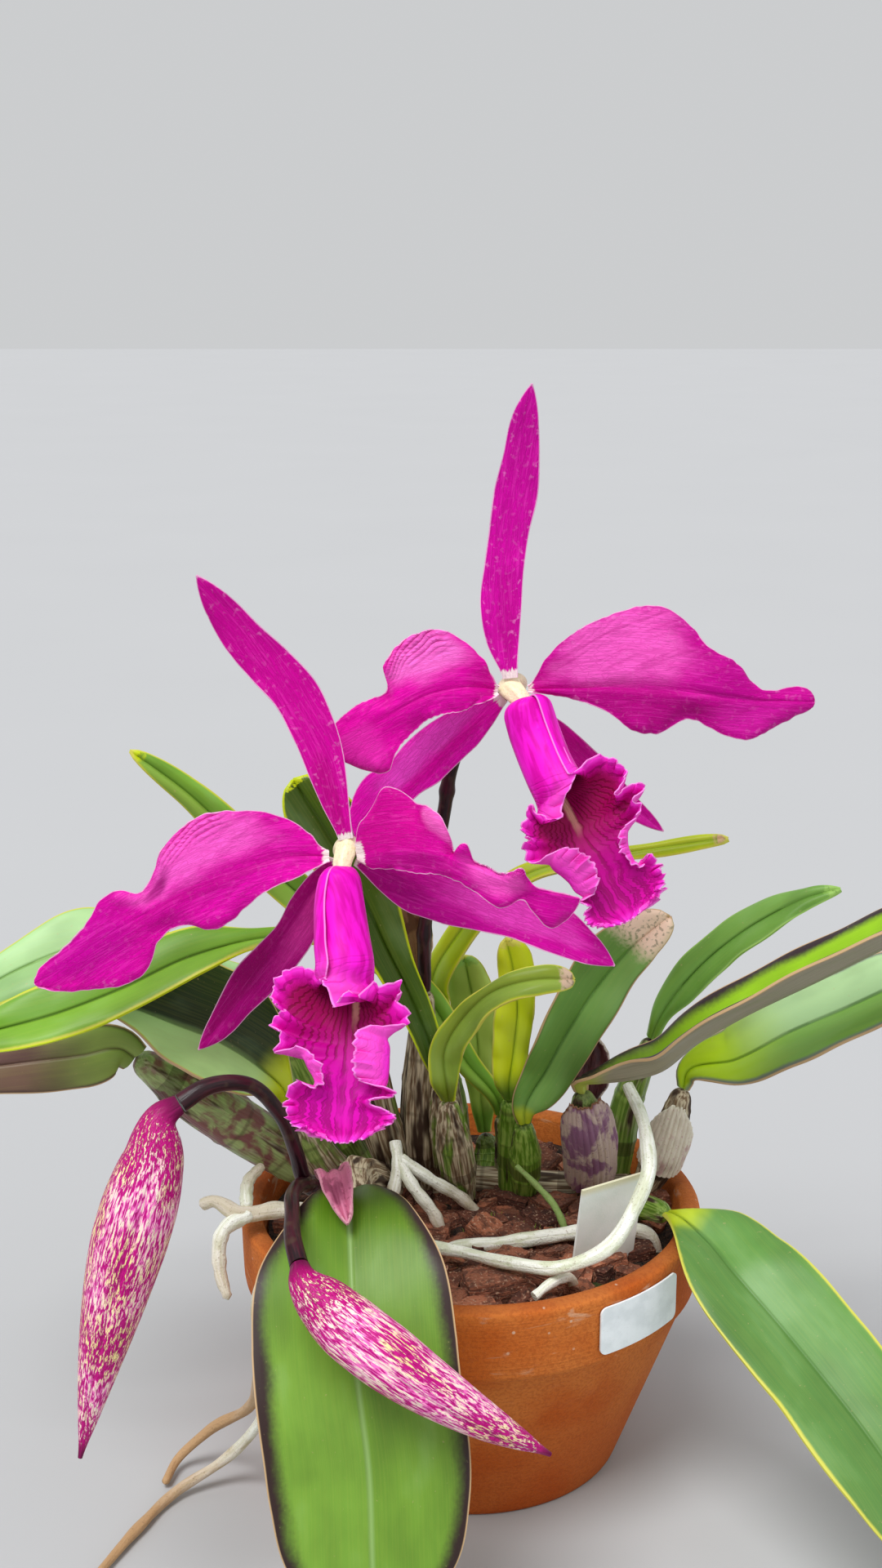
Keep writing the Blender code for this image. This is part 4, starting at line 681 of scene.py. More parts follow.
# Tepals: points along the middle, then the half widths on the plus and minus sides. A sepal's are evenly
# spaced from base to tip; a petal's are pairs of a place along it, from 0 to 1, and the half width there.
TEPALS = {
    "low_dorsal_sepal": ([(-34, -52, 209), (-36, -50, 218), (-39, -47, 229), (-46, -44, 242),
        (-56, -42, 257), (-65, -43, 269), (-72, -46, 278)], (2, 3, 4.5, 6.5, 7.5, 6, 4, 3, 0.6),
        (2, 4.5, 6, 5.5, 5, 6.5, 7, 5, 0.6)),
    "low_petal_left": ([(-38.5, -54, 205), (-50, -56, 205), (-62, -58, 202), (-76, -57, 196),
        (-89, -56, 188), (-103, -55, 179), (-118, -54, 169)], ((0, 1.5), (0.03, 3), (0.05, 5.5), (0.11, 10),
        (0.16, 13), (0.2, 14.7), (0.28, 16.7), (0.34, 17.2), (0.39, 16.2), (0.44, 14.5), (0.475, 12.5),
        (0.5, 9.8), (0.54, 7.4), (0.57, 6.2), (0.59, 6.8), (0.61, 9), (0.645, 10.2), (0.69, 10),
        (0.74, 7.7), (0.78, 6), (0.86, 4.2), (0.92, 3.6), (0.97, 2.6), (1, 0.6)),
        ((0, 1.5), (0.03, 2.7), (0.1, 5.5), (0.16, 6.6), (0.22, 7.6), (0.28, 9.5), (0.34, 11.6),
        (0.4, 12.7), (0.44, 11.8), (0.47, 9.5), (0.53, 7.2), (0.58, 7.4), (0.62, 8.8), (0.66, 12),
        (0.7, 13.5), (0.75, 13.4), (0.8, 12), (0.87, 9.2), (0.93, 6.3), (0.97, 3.8), (1, 0.8))),
    "low_sepal_left": ([(-37, -48, 202), (-45, -46, 189), (-53, -44, 177), (-63, -43, 163), (-71, -43, 152),
        (-76, -44, 146)], (2, 4, 4.5, 3.5, 4.5, 5.5, 4.5, 3, 0.6), (2, 3, 6, 7.5, 7.5, 6.5, 5, 4, 0.6)),
    "low_sepal_right": ([(-31.5, -48, 202.5), (-18, -46, 195), (-5, -45, 190), (11, -46, 184),
        (26, -47, 178), (38, -48, 172)], (2, 5, 7.5, 7.5, 6, 4.5, 4.5, 3.5, 0.6),
        (2, 4, 6, 8, 9, 9.5, 9, 5.5, 0.6)),
    "low_petal_right": ([(-31, -54, 205.5), (-19, -62, 209), (-9, -70, 210), (3, -74, 206), (16, -72, 201),
        (27, -66, 197)], ((0, 2), (0.04, 4), (0.15, 5), (0.29, 6), (0.45, 5), (0.53, 5), (0.6, 6),
        (0.68, 7.3), (0.72, 5.5), (0.76, 3.5), (0.8, 5), (0.85, 7.5), (0.89, 8.7), (0.95, 6.5), (1, 2.5)),
        ((0, 2.5), (0.02, 5.5), (0.05, 8.5), (0.09, 10.5), (0.13, 13.5), (0.16, 16.3), (0.19, 16.3),
        (0.22, 14.5), (0.25, 12.3), (0.3, 12), (0.34, 11.3), (0.38, 9.5), (0.41, 6), (0.43, 2.2),
        (0.455, 2.5), (0.475, 5.5), (0.5, 4), (0.53, 1.8), (0.58, 2), (0.63, 1.6), (0.67, 2.5), (0.7, 4.8),
        (0.74, 3), (0.78, 1.2), (0.85, 0.8), (0.95, 0.6), (1, 0.3))),
    "high_dorsal_sepal": ([(10, -22, 246), (9, -20, 255), (8, -17, 270), (9, -15, 285), (11, -15, 301),
        (13, -17, 314), (15, -20, 325)], (2, 3.5, 5, 5.5, 6, 7, 6, 4, 0.6),
        (2, 5.5, 6.5, 5.5, 5, 5, 4, 3.5, 0.6)),
    "high_petal_left": ([(6.5, -22, 243), (-2, -27, 245), (-11, -29, 244), (-22, -30, 239), (-31, -30, 234),
        (-40, -30, 229)], ((0, 1), (0.02, 1.5), (0.05, 3.2), (0.11, 7), (0.16, 10), (0.21, 13),
        (0.26, 15.3), (0.31, 16.5), (0.36, 16.6), (0.42, 16), (0.48, 14.5), (0.52, 13), (0.55, 11.8),
        (0.56, 9), (0.58, 6.2), (0.61, 5.2), (0.66, 5.5), (0.75, 6), (0.82, 5.5), (0.9, 4.5), (0.96, 3),
        (1, 0.6)), ((0, 1.5), (0.03, 2.8), (0.08, 4), (0.15, 5.6), (0.22, 6.9), (0.3, 7.1), (0.39, 7),
        (0.5, 7.2), (0.58, 8.5), (0.64, 9.5), (0.71, 11.2), (0.77, 14), (0.8, 14.5), (0.84, 13.3),
        (0.89, 11), (0.94, 8), (0.98, 4.5), (1, 1))),
    "high_petal_right": ([(15, -22, 243), (26, -27, 244), (42, -29, 245), (57, -30, 244), (71, -29, 242),
        (82, -27, 241), (93, -25, 240)], ((0, 1), (0.05, 1.2), (0.1, 1.8), (0.16, 2.6), (0.22, 4.5),
        (0.28, 7), (0.33, 10), (0.38, 12.2), (0.43, 12.7), (0.48, 12), (0.53, 9.2), (0.57, 7.6),
        (0.61, 7.9), (0.66, 9.5), (0.71, 11), (0.77, 11.3), (0.82, 9.6), (0.87, 7.3), (0.92, 5),
        (0.96, 3.2), (0.99, 2), (1, 0.5)), ((0, 1), (0.03, 3.5), (0.07, 8.5), (0.13, 13.5), (0.2, 16.5),
        (0.26, 18.7), (0.33, 21), (0.38, 22.7), (0.43, 23.2), (0.47, 22.3), (0.53, 19.5), (0.575, 16.5),
        (0.59, 14.3), (0.65, 11.7), (0.7, 10.5), (0.74, 8), (0.78, 4.5), (0.82, 2.7), (0.87, 3), (0.92, 4),
        (0.97, 3.8), (0.99, 2.5), (1, 0.5))),
    "high_sepal_left": ([(8, -18, 240), (-7, -14, 225), (-18, -11, 213), (-28, -10, 203), (-33, -11, 196)],
        (2, 4.5, 7, 8.5, 9, 8.5, 10, 7.5, 0.6), (2, 4, 5.5, 5.5, 5.5, 4, 4.5, 4, 0.6)),
    "high_sepal_right": ([(13, -17, 239), (25, -11, 225), (37, -7, 213), (48, -6, 203), (55, -7, 198)],
        (2, 5, 5.5, 6, 5.5, 5.5, 4.5, 2.5, 0.6), (2, 3, 4.5, 5, 5, 4.5, 3.5, 2.5, 0.6)),
}

MAGENTA_DEEP = shade(164, 0, 112)
MAGENTA_LIGHT = shade(240, 84, 196)
PINK_WHITE = shade(250, 214, 240)

# Colouring of each tepal: its ground, then soft patches as the place along and across at which each is
# centred, its reach along and across, its colour and its strength; last how much pale speckling it has,
# how long its white claw is in millimetres, and how strongly painted shade darkens its slanting creases.
# The patches are partly the tepal's own paler and deeper tones and partly painted light: painted highlight
# where a half or ridge faces the light, painted shade on the halves turned away and in the folds.
TEPAL_LOOKS = {
    "low_petal_left": (shade(222, 4, 164), ((0.38, 0.6, 0.26, 0.55, shade(255, 102, 210), 0.8),
        (0.22, -0.55, 0.22, 0.5, shade(236, 6, 178), 0.6), (0.82, 0.2, 0.24, 0.9, shade(192, 0, 150), 0.75),
        (0.35, -0.08, 0.34, 0.16, shade(170, 0, 120), 0.6), (0.52, 0.5, 0.06, 0.26, shade(146, 0, 108),
        0.85)), 0.35, 1.6, 0.7),
    "low_petal_right": (shade(214, 4, 158), ((0.2, -0.45, 0.24, 0.7, shade(208, 0, 140), 0.8),
        (0.36, -0.85, 0.07, 0.35, shade(252, 110, 202), 0.8), (0.62, -0.1, 0.15, 0.9, shade(248, 92, 198),
        0.75), (0.28, 0.5, 0.3, 0.5, shade(164, 0, 116), 0.75), (0.88, 0.55, 0.12, 0.7, shade(204, 0, 150),
        0.75)), 0.25, 2.6, 0.5),
    "high_petal_left": (shade(230, 2, 168), ((0.38, 0.66, 0.22, 0.5, shade(253, 118, 214), 0.85),
        (0.08, 0.1, 0.14, 1.0, shade(212, 0, 148), 0.8), (0.4, -0.1, 0.34, 0.22, shade(196, 0, 136), 0.55),
        (0.86, -0.4, 0.14, 0.7, shade(244, 60, 190), 0.5), (0.62, 0.6, 0.06, 0.6, shade(204, 0, 144), 0.7)),
        0.25, 1.2, 0.8),
    "high_petal_right": (shade(200, 2, 146), ((0.32, -0.55, 0.3, 0.58, shade(248, 100, 200), 0.78),
        (0.68, -0.5, 0.15, 0.8, shade(186, 0, 138), 0.8), (0.38, 0.45, 0.44, 0.55, shade(172, 0, 120),
        0.85), (0.8, 0.5, 0.18, 0.5, shade(206, 30, 160), 0.5)), 0.45, 1.4, 0.9),
    "low_dorsal_sepal": (shade(206, 2, 150), ((0.15, -0.3, 0.16, 0.7, shade(172, 0, 112), 0.6),), 0.6, 1.6,
        0.0),
    "high_dorsal_sepal": (shade(212, 8, 162), ((0.2, 0.2, 0.2, 0.7, shade(184, 0, 134), 0.6),), 0.8, 2.2,
        0.0),
    # low_sepal_left: its darker ground and deep patch are painted shade.
    "low_sepal_left": (shade(176, 4, 124), ((0.22, -0.45, 0.34, 0.6, shade(240, 64, 178), 0.8),
        (0.7, 0.45, 0.35, 0.8, shade(146, 4, 96), 0.8)), 0.15, 1.0, 0.0),
    "low_sepal_right": (shade(206, 8, 156), ((0.58, -0.3, 0.32, 0.8, shade(240, 78, 200), 0.65),
        (0.1, 0.3, 0.22, 0.8, shade(150, 0, 112), 0.8)), 0.3, 1.0, 0.0),
    # high_sepal_left: its bright ground and pale patch are painted light, lightened to offset the shade it
    # lies in.
    "high_sepal_left": (shade(255, 18, 200), ((0.42, 0.5, 0.44, 0.52, shade(255, 82, 222), 0.9),
        (0.4, -0.2, 0.44, 0.34, shade(226, 0, 164), 0.6)), 0.25, 2.2, 0.3),
    "high_sepal_right": (shade(206, 6, 152), ((0.8, 0.3, 0.25, 0.7, shade(240, 40, 190), 0.7),), 0.2, 1.5,
        0.0),
}


def petal_look(name, ground, light_shade_patches, speckles, claw_length, crease_shade_strength):
    """A tepal: veined magenta with soft paler and deeper patches, a fine pale rim and a white claw. The
    patches are partly its own tones and partly painted highlight and painted shade; painted shade darkens its
    creases.
    """
    look = Look(name + "_magenta", 0.45, 0.06)
    place = look.mark("place")
    far, aside, seed = look.parts(place)
    u, v, upper = look.parts("part")
    near, _, _ = look.parts("edge")
    broad = look.noise(place, (0.1, 0.16, 1.0), 3.0) - 0.5
    look.colour = ground
    # Patches of painted highlight and painted shade, partly the tepal's own paler and deeper tones.
    for patch_u, patch_v, reach_u, reach_v, patch_colour, strength in light_shade_patches:
        along = (u - patch_u) * (1 / reach_u)
        across = (v - patch_v) * (1 / reach_v)
        away = look.sums("SQRT", along * along + across * across)
        inside = (away + broad * 0.9).between(1.15, 0.45)
        look.over(inside * strength, patch_colour)
    # Painted shade: slanting crease lines darkened with deep magenta.
    slanted = aside * 0.86 + far * (crease_shade_strength * 0.5)
    crease_shade = look.noise(look.joined(far * 0.05, slanted * 0.55, seed), 1.0, 3.0, 0.3)
    crease_shade = crease_shade.between(0.5, 0.66) * abs(v).between(0.05, 0.35)
    look.over(crease_shade * (abs(crease_shade_strength) * 0.375), MAGENTA_DEEP)
    vein = look.noise(place, (0.1, 1.7, 1.0), 2.0, 0.8)
    line = abs(vein - 0.5).between(0.05, 0.01)
    net = look.cells(place, (0.26, 0.85, 1.0), "DISTANCE_TO_EDGE")
    netted = look.most(line, net.between(0.07, 0.0))
    look.over(netted * 0.294, MAGENTA_DEEP)
    look.over(vein.between(0.5, 0.7) * 0.14, MAGENTA_LIGHT)
    mottle = look.noise(place, 0.6, 3.0, 0.3).between(0.56, 0.7)
    border = (near + broad * 4.0).between(3.6, 1.2)
    spotted = mottle * speckles * (border * 0.75 + 0.25)
    look.over(spotted * 0.55, look.mix(0.35, MAGENTA_LIGHT, PINK_WHITE))
    grain = look.noise(place, 4.5, 2.0)
    look.over(grain.between(0.6, 0.8) * 0.06, PINK_WHITE)
    edge_far = far + (vein - 0.5) * 3.0
    claw = edge_far.between(claw_length + 0.35, claw_length - 0.35)
    claw = claw * abs(aside).between(3.8, 2.6)
    look.over(claw, shade(240, 224, 222))
    look.over(near.between(0.32, 0.1) * 0.55, PINK_WHITE)
    look.over((1.0 - upper) * 0.22, MAGENTA_LIGHT)
    height = vein * 0.7 + (grain * 0.3 + netted * -0.3)
    look.set("Sheen Weight", 0.02)
    look.set("Sheen Tint", (1.0, 0.62, 0.92))
    return look.done(height, 0.14)


# The relief of each petal. Pleats: the side, from where to where along it, how far out they begin, their
# angle to the midrib in degrees and their depth in millimetres. Folds: soft hollows and ridges as the place
# along and across, the reach along and across, and the height in millimetres.
PETAL_RELIEF = {
    "low_petal_left": ((1, 0.22, 0.52, 0.45, 10, 0.5), ((0.53, 0.6, 0.05, 0.35, -2.2),
        (0.62, 0.8, 0.05, 0.3, 1.6), (0.35, 0.02, 0.4, 0.12, -0.9), (0.4, -0.85, 0.08, 0.35, 1.6),
        (0.56, -0.85, 0.07, 0.35, -1.4), (0.74, -0.85, 0.1, 0.35, 1.4))),
    "low_petal_right": ((-1, 0.5, 0.78, 0.1, 60, 0.3), ((0.26, -0.85, 0.06, 0.35, -1.5),
        (0.36, -0.8, 0.06, 0.35, 2.0), (0.435, -0.7, 0.025, 0.8, -3.4), (0.475, -0.8, 0.03, 0.5, 3.4),
        (0.55, -0.6, 0.04, 0.7, -2.0), (0.7, -0.8, 0.04, 0.6, 2.6), (0.68, 0.9, 0.06, 0.45, 1.8),
        (0.77, 0.6, 0.05, 0.5, -1.4), (0.89, 0.8, 0.07, 0.5, 2.4))),
    "high_petal_left": ((1, 0.22, 0.58, 0.4, 25, 0.55), ((0.6, 0.75, 0.05, 0.45, -1.8),
        (0.52, 0.9, 0.05, 0.25, 1.2), (0.35, -0.05, 0.4, 0.15, -0.9), (0.8, -0.85, 0.1, 0.4, 1.6),
        (0.62, -0.8, 0.1, 0.4, -1.2))),
    "high_petal_right": ((-1, 0.12, 0.6, 0.25, -24, 0.1), ((0.4, 0.0, 0.45, 0.1, -1.4),
        (0.58, -0.8, 0.05, 0.35, -1.6), (0.7, -0.6, 0.08, 0.45, 1.2), (0.4, 0.85, 0.1, 0.4, 1.8),
        (0.57, 0.85, 0.07, 0.4, -1.6), (0.76, 0.85, 0.11, 0.4, 1.6), (0.94, 0.0, 0.06, 0.9, 1.0))),
}
PLEAT_WIDTH = 1.35
PLEAT_REACH = 15.0


def petal_wave(pleats, folds, length, seed):
    """Soft uneven waves of a petal's edge, with its own folds and pleats."""
    side, from_u, to_u, out_from, angle, depth = pleats
    slope = math.radians(angle)

    def wave(u, v):
        reach = abs(v)
        rise = 0.0016 * reach ** 2 * uneven(u * 7.0, v * 1.3, seed)
        rise += 0.0007 * ease(reach, 0.5, 1.0) * uneven(u * 24.0, v * 2.0, seed + 5.0)
        for fold_u, fold_v, reach_u, reach_v, height in folds:
            rise += height * MM * math.exp(-((u - fold_u) / reach_u) ** 2 - ((v - fold_v) / reach_v) ** 2)
        if v * side > 0 and from_u < u < to_u:
            window = ease(u, from_u, from_u + 0.10) * ease(u, to_u, to_u - 0.08) * ease(reach, out_from, 0.95)
            line = u * length * math.sin(slope) + reach * PLEAT_REACH * math.cos(slope)
            line += 0.8 * uneven(u * 12.0, v * 3.0, seed + 9.0)
            rise += depth * MM * window * math.sin(line * math.tau / PLEAT_WIDTH)
        return rise, 0.0003 * ease(reach, 0.7, 1.0) * uneven(u * 40.0, v, seed + 2.0)
    return wave


def sepal_wave(u, v):
    reach = abs(v)
    return 0.0006 * reach ** 2 * math.sin(8.0 * u + 2.0 * v) + 0.0002 * reach * math.sin(37.0 * u), 0.0


# How far the halves lean forward of the midrib, in degrees: a petal's fall back from it as they widen.
PETAL_FOLD = (8, 2, -6, -12, -14, -14, -12, -8, -4)
SEPAL_FOLD = (8, 8, 6, 4, 4, 4, 6, 8)
OUTLINE_STEPS = 60


def outline(rows):
    """Evenly spaced half widths from pairs of a place along a petal and its half width there."""
    return tuple(row_values(rows, i / OUTLINE_STEPS)[0] for i in range(OUTLINE_STEPS + 1))


def make_tepals():
    for number, (name, (points, plus, minus)) in enumerate(TEPALS.items()):
        facing = LOW_FACING if name.startswith("low") else HIGH_FACING
        seed = 11.7 * number
        look = petal_look(name, *TEPAL_LOOKS[name])
        if "petal" in name:
            wave = petal_wave(*PETAL_RELIEF[name], Path(points).length / MM, seed)
            made = blade(points, facing, outline(plus), outline(minus), TEPAL_THICKNESS, *PETAL_GRID,
                         fold=PETAL_FOLD, wave=wave, point=0.6, rim=0.3, seed=seed)
        else:
            made = blade(points, facing, plus, minus, TEPAL_THICKNESS, *SEPAL_GRID,
                         fold=SEPAL_FOLD, wave=sepal_wave, point=0.9, rim=0.3, seed=seed)
        add_piece(name + "_blade", made, look, [name])


# Lips: the side lobes wrap round the column as a tube and open into a ruffled mouth and a front lobe.
# The wide lobe crosses over the front of the tube; the narrow one lies on its edge.
LIP_EDGE_FROM = 0.6
TUBE_DOME = 0.14
TUBE_HOOD = 0.35
TUBE_FOOT_RISE = 0.12
TUBE_FOOT_WIDTH = 0.35
FRILL_FROM = 0.72
FRILL_BEAT = 62

# The waves of the frill, forward and across: the height in millimetres, the pace and the lag of each.
FRILL_FORWARD = ((0.9, 1.3, 0.0), (0.9, 3.1, 1.0), (0.5, 5.3, 0.0))
FRILL_ACROSS = ((0.5, 2.2, 0.0), (0.5, 3.7, 2.0), (0.15, 6.1, 0.0))

# The tube of each lip: half widths in millimetres and the turns in degrees of the inner part and, at its
# foot and its mouth, of the edge part. The open part: each row is how far from the mouth to the tip, then in
# millimetres how far across and forward the bend of that side lies, and how far across, forward and onward
# its margin lies.
LOW_WIDE = dict(halves=(18, 22, 25, 26.5, 28, 29, 27), inner=144, edge=(96, 96),
    rows=((0.0, 16, 6, -6.5, 13.5, 2), (0.03, 16, 6, -4.5, 13, 2), (0.06, 15, 6, -3, 12, 5.5),
    (0.09, 15, 6, -1.5, 12, 2.5), (0.12, 13, 5, 1, 12, -1), (0.15, 12, 5, 3.5, 11, -0.5),
    (0.18, 11, 4, 7, 10, -6), (0.21, 11, 3, 8.5, 10, -6), (0.25, 10, 2, 14.5, 8, -9.5),
    (0.29, 10, 1, 13, 7, -7), (0.33, 9, 1, 16, 5, -5), (0.38, 9, 1, 14.5, 5, -3.5), (0.43, 19, 0, 4, 9, -3),
    (0.49, 20, 0, 2.5, 9, -1), (0.56, 20, 0, 2, 8.5, 1), (0.62, 18, 0, 4, 7, 1), (0.66, 9, 0, 13, 4, 0),
    (0.7, 7, 0, 11, 4, 0), (0.74, 5, 0, 6.5, 5, 0), (0.8, 5, 0, 12, 2, 0), (0.87, 5, 0, 13.5, 1.5, -1),
    (0.94, 4, 0, 12, 1, -2), (1.0, 2, 0, 7, 0.5, -2)))
LOW_NARROW = dict(halves=(12, 15, 17, 18.5, 19.5, 20, 22), inner=90, edge=(60, 60),
    rows=((0.0, 11, 0, 5, 12, 0), (0.04, 12, 2, 6, 11, -1), (0.09, 12, 3, 10, 9, -7),
    (0.14, 12, 2, 16, 8, -9), (0.19, 12, 1, 19, 7, -7.5), (0.25, 12, 1, 19.5, 6, -5.5),
    (0.3, 11, 1, 16.5, 6, -5), (0.36, 11, 0, 20, 3, -5), (0.41, 11, 1, 16.5, 6, -3),
    (0.46, 11, 0, 18.5, 4, -1), (0.51, 14, 1, 11, 8, -2), (0.57, 15, 2, 6.5, 8, 0),
    (0.62, 12, 1, 5.5, 6, 2), (0.66, 9, 0, 8, 5, 2), (0.7, 8, 0, 12, 7, -1), (0.75, 8, 0, 14.5, 3, 0),
    (0.82, 7, 0, 14, 2, 1), (0.89, 5, 0, 12, 1.5, 0), (0.95, 3, 0, 9, 1, -1), (1.0, 1, 0, 5, 0.5, -1.5)))
HIGH_WIDE = dict(halves=(24, 26, 27, 27, 27, 27, 27), inner=144, edge=(110, 66),
    rows=((0.0, 16, 6, -4, 13, -1), (0.04, 16, 6, 0, 12, 1), (0.08, 14, 6, 3, 11, 3.5),
    (0.12, 12, 5, 6.5, 10, 0), (0.16, 10, 3, 9, 10, -6), (0.2, 10, 2, 11, 9, -5.5), (0.25, 9, 1, 14, 8, -4),
    (0.29, 9, 1, 12.5, 7, -3.5), (0.33, 9, 1, 15, 5, -4), (0.39, 9, 1, 14.5, 4, -2),
    (0.44, 17, 0, 5.5, 8, -3.5), (0.5, 17, 0, 1.5, 9, -2.5), (0.56, 16, 0, 0, 9, -1),
    (0.62, 15, 0, 1, 8, 1.5), (0.67, 11, 0, 4, 6, 2), (0.71, 8, 0, 8.5, 4, 0), (0.75, 7, 0, 6.5, 4, 1),
    (0.79, 6, 0, 9, 1, 0), (0.85, 6, 0, 9.5, 1, 0), (0.92, 5, 0, 9, 1, -1), (0.97, 3, 0, 7, 1, -1.5),
    (1.0, 1.5, 0, 5, 0.5, -2)))
HIGH_NARROW = dict(halves=(17, 18, 18, 18, 18, 19, 20), inner=90, edge=(60, 50),
    rows=((0.0, 11, 0, 10, 9, -6), (0.04, 12, 1, 14, 9, -7), (0.09, 13, 1, 17, 8, -6),
    (0.14, 13, 1, 18.5, 7, -4.5), (0.18, 13, 0, 16.5, 9, -3), (0.22, 15, 0, 13, 9, -2),
    (0.26, 13, 1, 19, 6, -5), (0.3, 13, 1, 21.5, 5, -4.5), (0.34, 13, 0, 17, 8, -3),
    (0.38, 14, 0, 18.5, 6, -2), (0.42, 14, 0, 15, 6, -1), (0.46, 16, 1, 10.5, 8, -1),
    (0.52, 15, 1, 8.5, 8, 0), (0.58, 14, 1, 8, 7, 0), (0.63, 12, 0, 9, 5, 2), (0.67, 9, 0, 11, 4, 2),
    (0.71, 8, 0, 14, 5, -1.5), (0.77, 8, 0, 15, 3, 0), (0.85, 8, 0, 14, 2, 1), (0.92, 6, 0, 12, 1.5, 0.5),
    (0.97, 4, 0, 9, 1, 0), (1.0, 1, 0, 5, 0.5, -1)))
LIPS = {
    "low_lip": dict(points=[(-35, -52, 200.5), (-35, -54, 193), (-34, -58, 184), (-33, -63, 176),
        (-33, -68, 169), (-33, -75, 161), (-33, -81, 155), (-34, -87, 147), (-34, -91, 140)],
        facing=LOW_FACING, plus=LOW_NARROW, minus=LOW_WIDE, mouth=0.44),
    "high_lip": dict(points=[(14, -21, 237.5), (17, -24, 229), (21, -30, 220), (26, -36, 211),
        (30, -42, 203), (35, -47, 195), (41, -52, 186)], facing=HIGH_FACING, plus=HIGH_WIDE,
        minus=HIGH_NARROW, mouth=0.44),
}


def arc_step(length, start, turn):
    """How far a curve of even turn goes: across and up, setting out at the start angle."""
    if abs(turn) < 1e-4:
        return length * math.cos(start), length * math.sin(start)
    radius = length / turn
    end = start + turn
    return radius * (math.sin(end) - math.sin(start)), radius * (math.cos(start) - math.cos(end))


def row_values(rows, place):
    """The numbers of the table's rows at a place between them, on a smooth curve."""
    last = len(rows) - 1
    i = 0
    while i < last - 1 and rows[i + 1][0] <= place:
        i += 1
    t = min(max((place - rows[i][0]) / (rows[i + 1][0] - rows[i][0]), 0.0), 1.0)
    before = rows[max(i - 1, 0)]
    after = rows[min(i + 2, last)]
    columns = list(zip(before, rows[i], rows[i + 1], after))[1:]
    return [smooth_step(*column, t) for column in columns]


def tube_step(lobe, place, reach):
    """Across, forward and onward on the wrapped tube; place runs from 0 at its foot to 1 at the mouth."""
    half = spread(lobe["halves"], place) * MM
    foot, mouth = lobe["edge"]
    inner = math.radians(lobe["inner"])
    edge = math.radians(foot + (mouth - foot) * place)
    inner_part = min(reach, LIP_EDGE_FROM)
    across, rise = arc_step(half * inner_part, 0.0, inner * inner_part / LIP_EDGE_FROM)
    if reach > LIP_EDGE_FROM:
        edge_part = (reach - LIP_EDGE_FROM) / (1 - LIP_EDGE_FROM)
        step = arc_step(half * (reach - LIP_EDGE_FROM), inner, edge * edge_part)
        across += step[0]
        rise += step[1]
    hollow = 1 - min(1.0, place / TUBE_DOME)
    dome = math.sqrt(1 - hollow ** 2)
    rise *= TUBE_FOOT_RISE + (1 - TUBE_FOOT_RISE) * dome
    across *= TUBE_FOOT_WIDTH + (1 - TUBE_FOOT_WIDTH) * dome
    return across, rise, -TUBE_HOOD * rise * ease(place, 0.7, 0.0)


def open_step(lobe, place, reach, phase):
    """Across, forward and onward on the open part; place runs from 0 at the mouth to 1 at the tip."""
    bend_x, bend_y, edge_x, edge_y, onward = row_values(lobe["rows"], place)
    middle = 2 * reach * (1 - reach)
    across = middle * bend_x + reach ** 2 * edge_x
    rise = middle * bend_y + reach ** 2 * edge_y
    step = reach ** 2 * onward
    beat = place * FRILL_BEAT + phase
    strength = 0.5 + 1.2 * abs(uneven(beat * 0.12, phase, 4.4))
    frill = strength * ease(reach, FRILL_FROM, 1.0)
    rise += frill * sum(high * math.sin(pace * beat + lag) for high, pace, lag in FRILL_FORWARD)
    across += frill * sum(high * math.sin(pace * beat + lag) for high, pace, lag in FRILL_ACROSS)
    rise += 0.25 * ease(reach, 0.1, 0.5) * math.sin(14 * place + 9 * reach)
    end = ease(place, 0.80, 1.0)
    step += end * reach * (0.5 * math.sin(23.0 * reach + phase) + 0.3 * math.sin(61.0 * reach + phase))
    rise += 0.5 * end * math.sin(17.0 * reach)
    return across * MM, rise * MM, step * MM


def lip_point(path, shape, u, v):
    """A point of a lip, and its place along it: 0.5 at the mouth and 1 at the tip."""
    centre = path.at(u)
    along = path.tangent(u)
    normal = squared(Vector(shape["facing"]), along)
    side = along.cross(normal)
    lobe = shape["plus"] if v > 0 else shape["minus"]
    mouth = shape["mouth"]
    reach = abs(v)
    openness = ease(u, mouth - 0.05, mouth + 0.03)
    step = (0.0, 0.0, 0.0)
    if openness < 1:
        step = [part * (1 - openness) for part in tube_step(lobe, min(1.0, u / mouth), reach)]
    if openness > 0:
        opened = open_step(lobe, max(0.0, (u - mouth) / (1 - mouth)), reach, lobe["inner"] * 0.1 + mouth)
        step = [a + b * openness for a, b in zip(step, opened)]
    across, rise, onward = step
    place = 0.5 * u / mouth if u < mouth else 0.5 + 0.5 * (u - mouth) / (1 - mouth)
    return centre + side * (across if v >= 0 else -across) + normal * rise + along * onward, place


# A lip's veins spread from a point some millimetres before its mouth; the beat sets how many there are.
VEIN_START = 8.0
VEIN_BEAT = 78.0


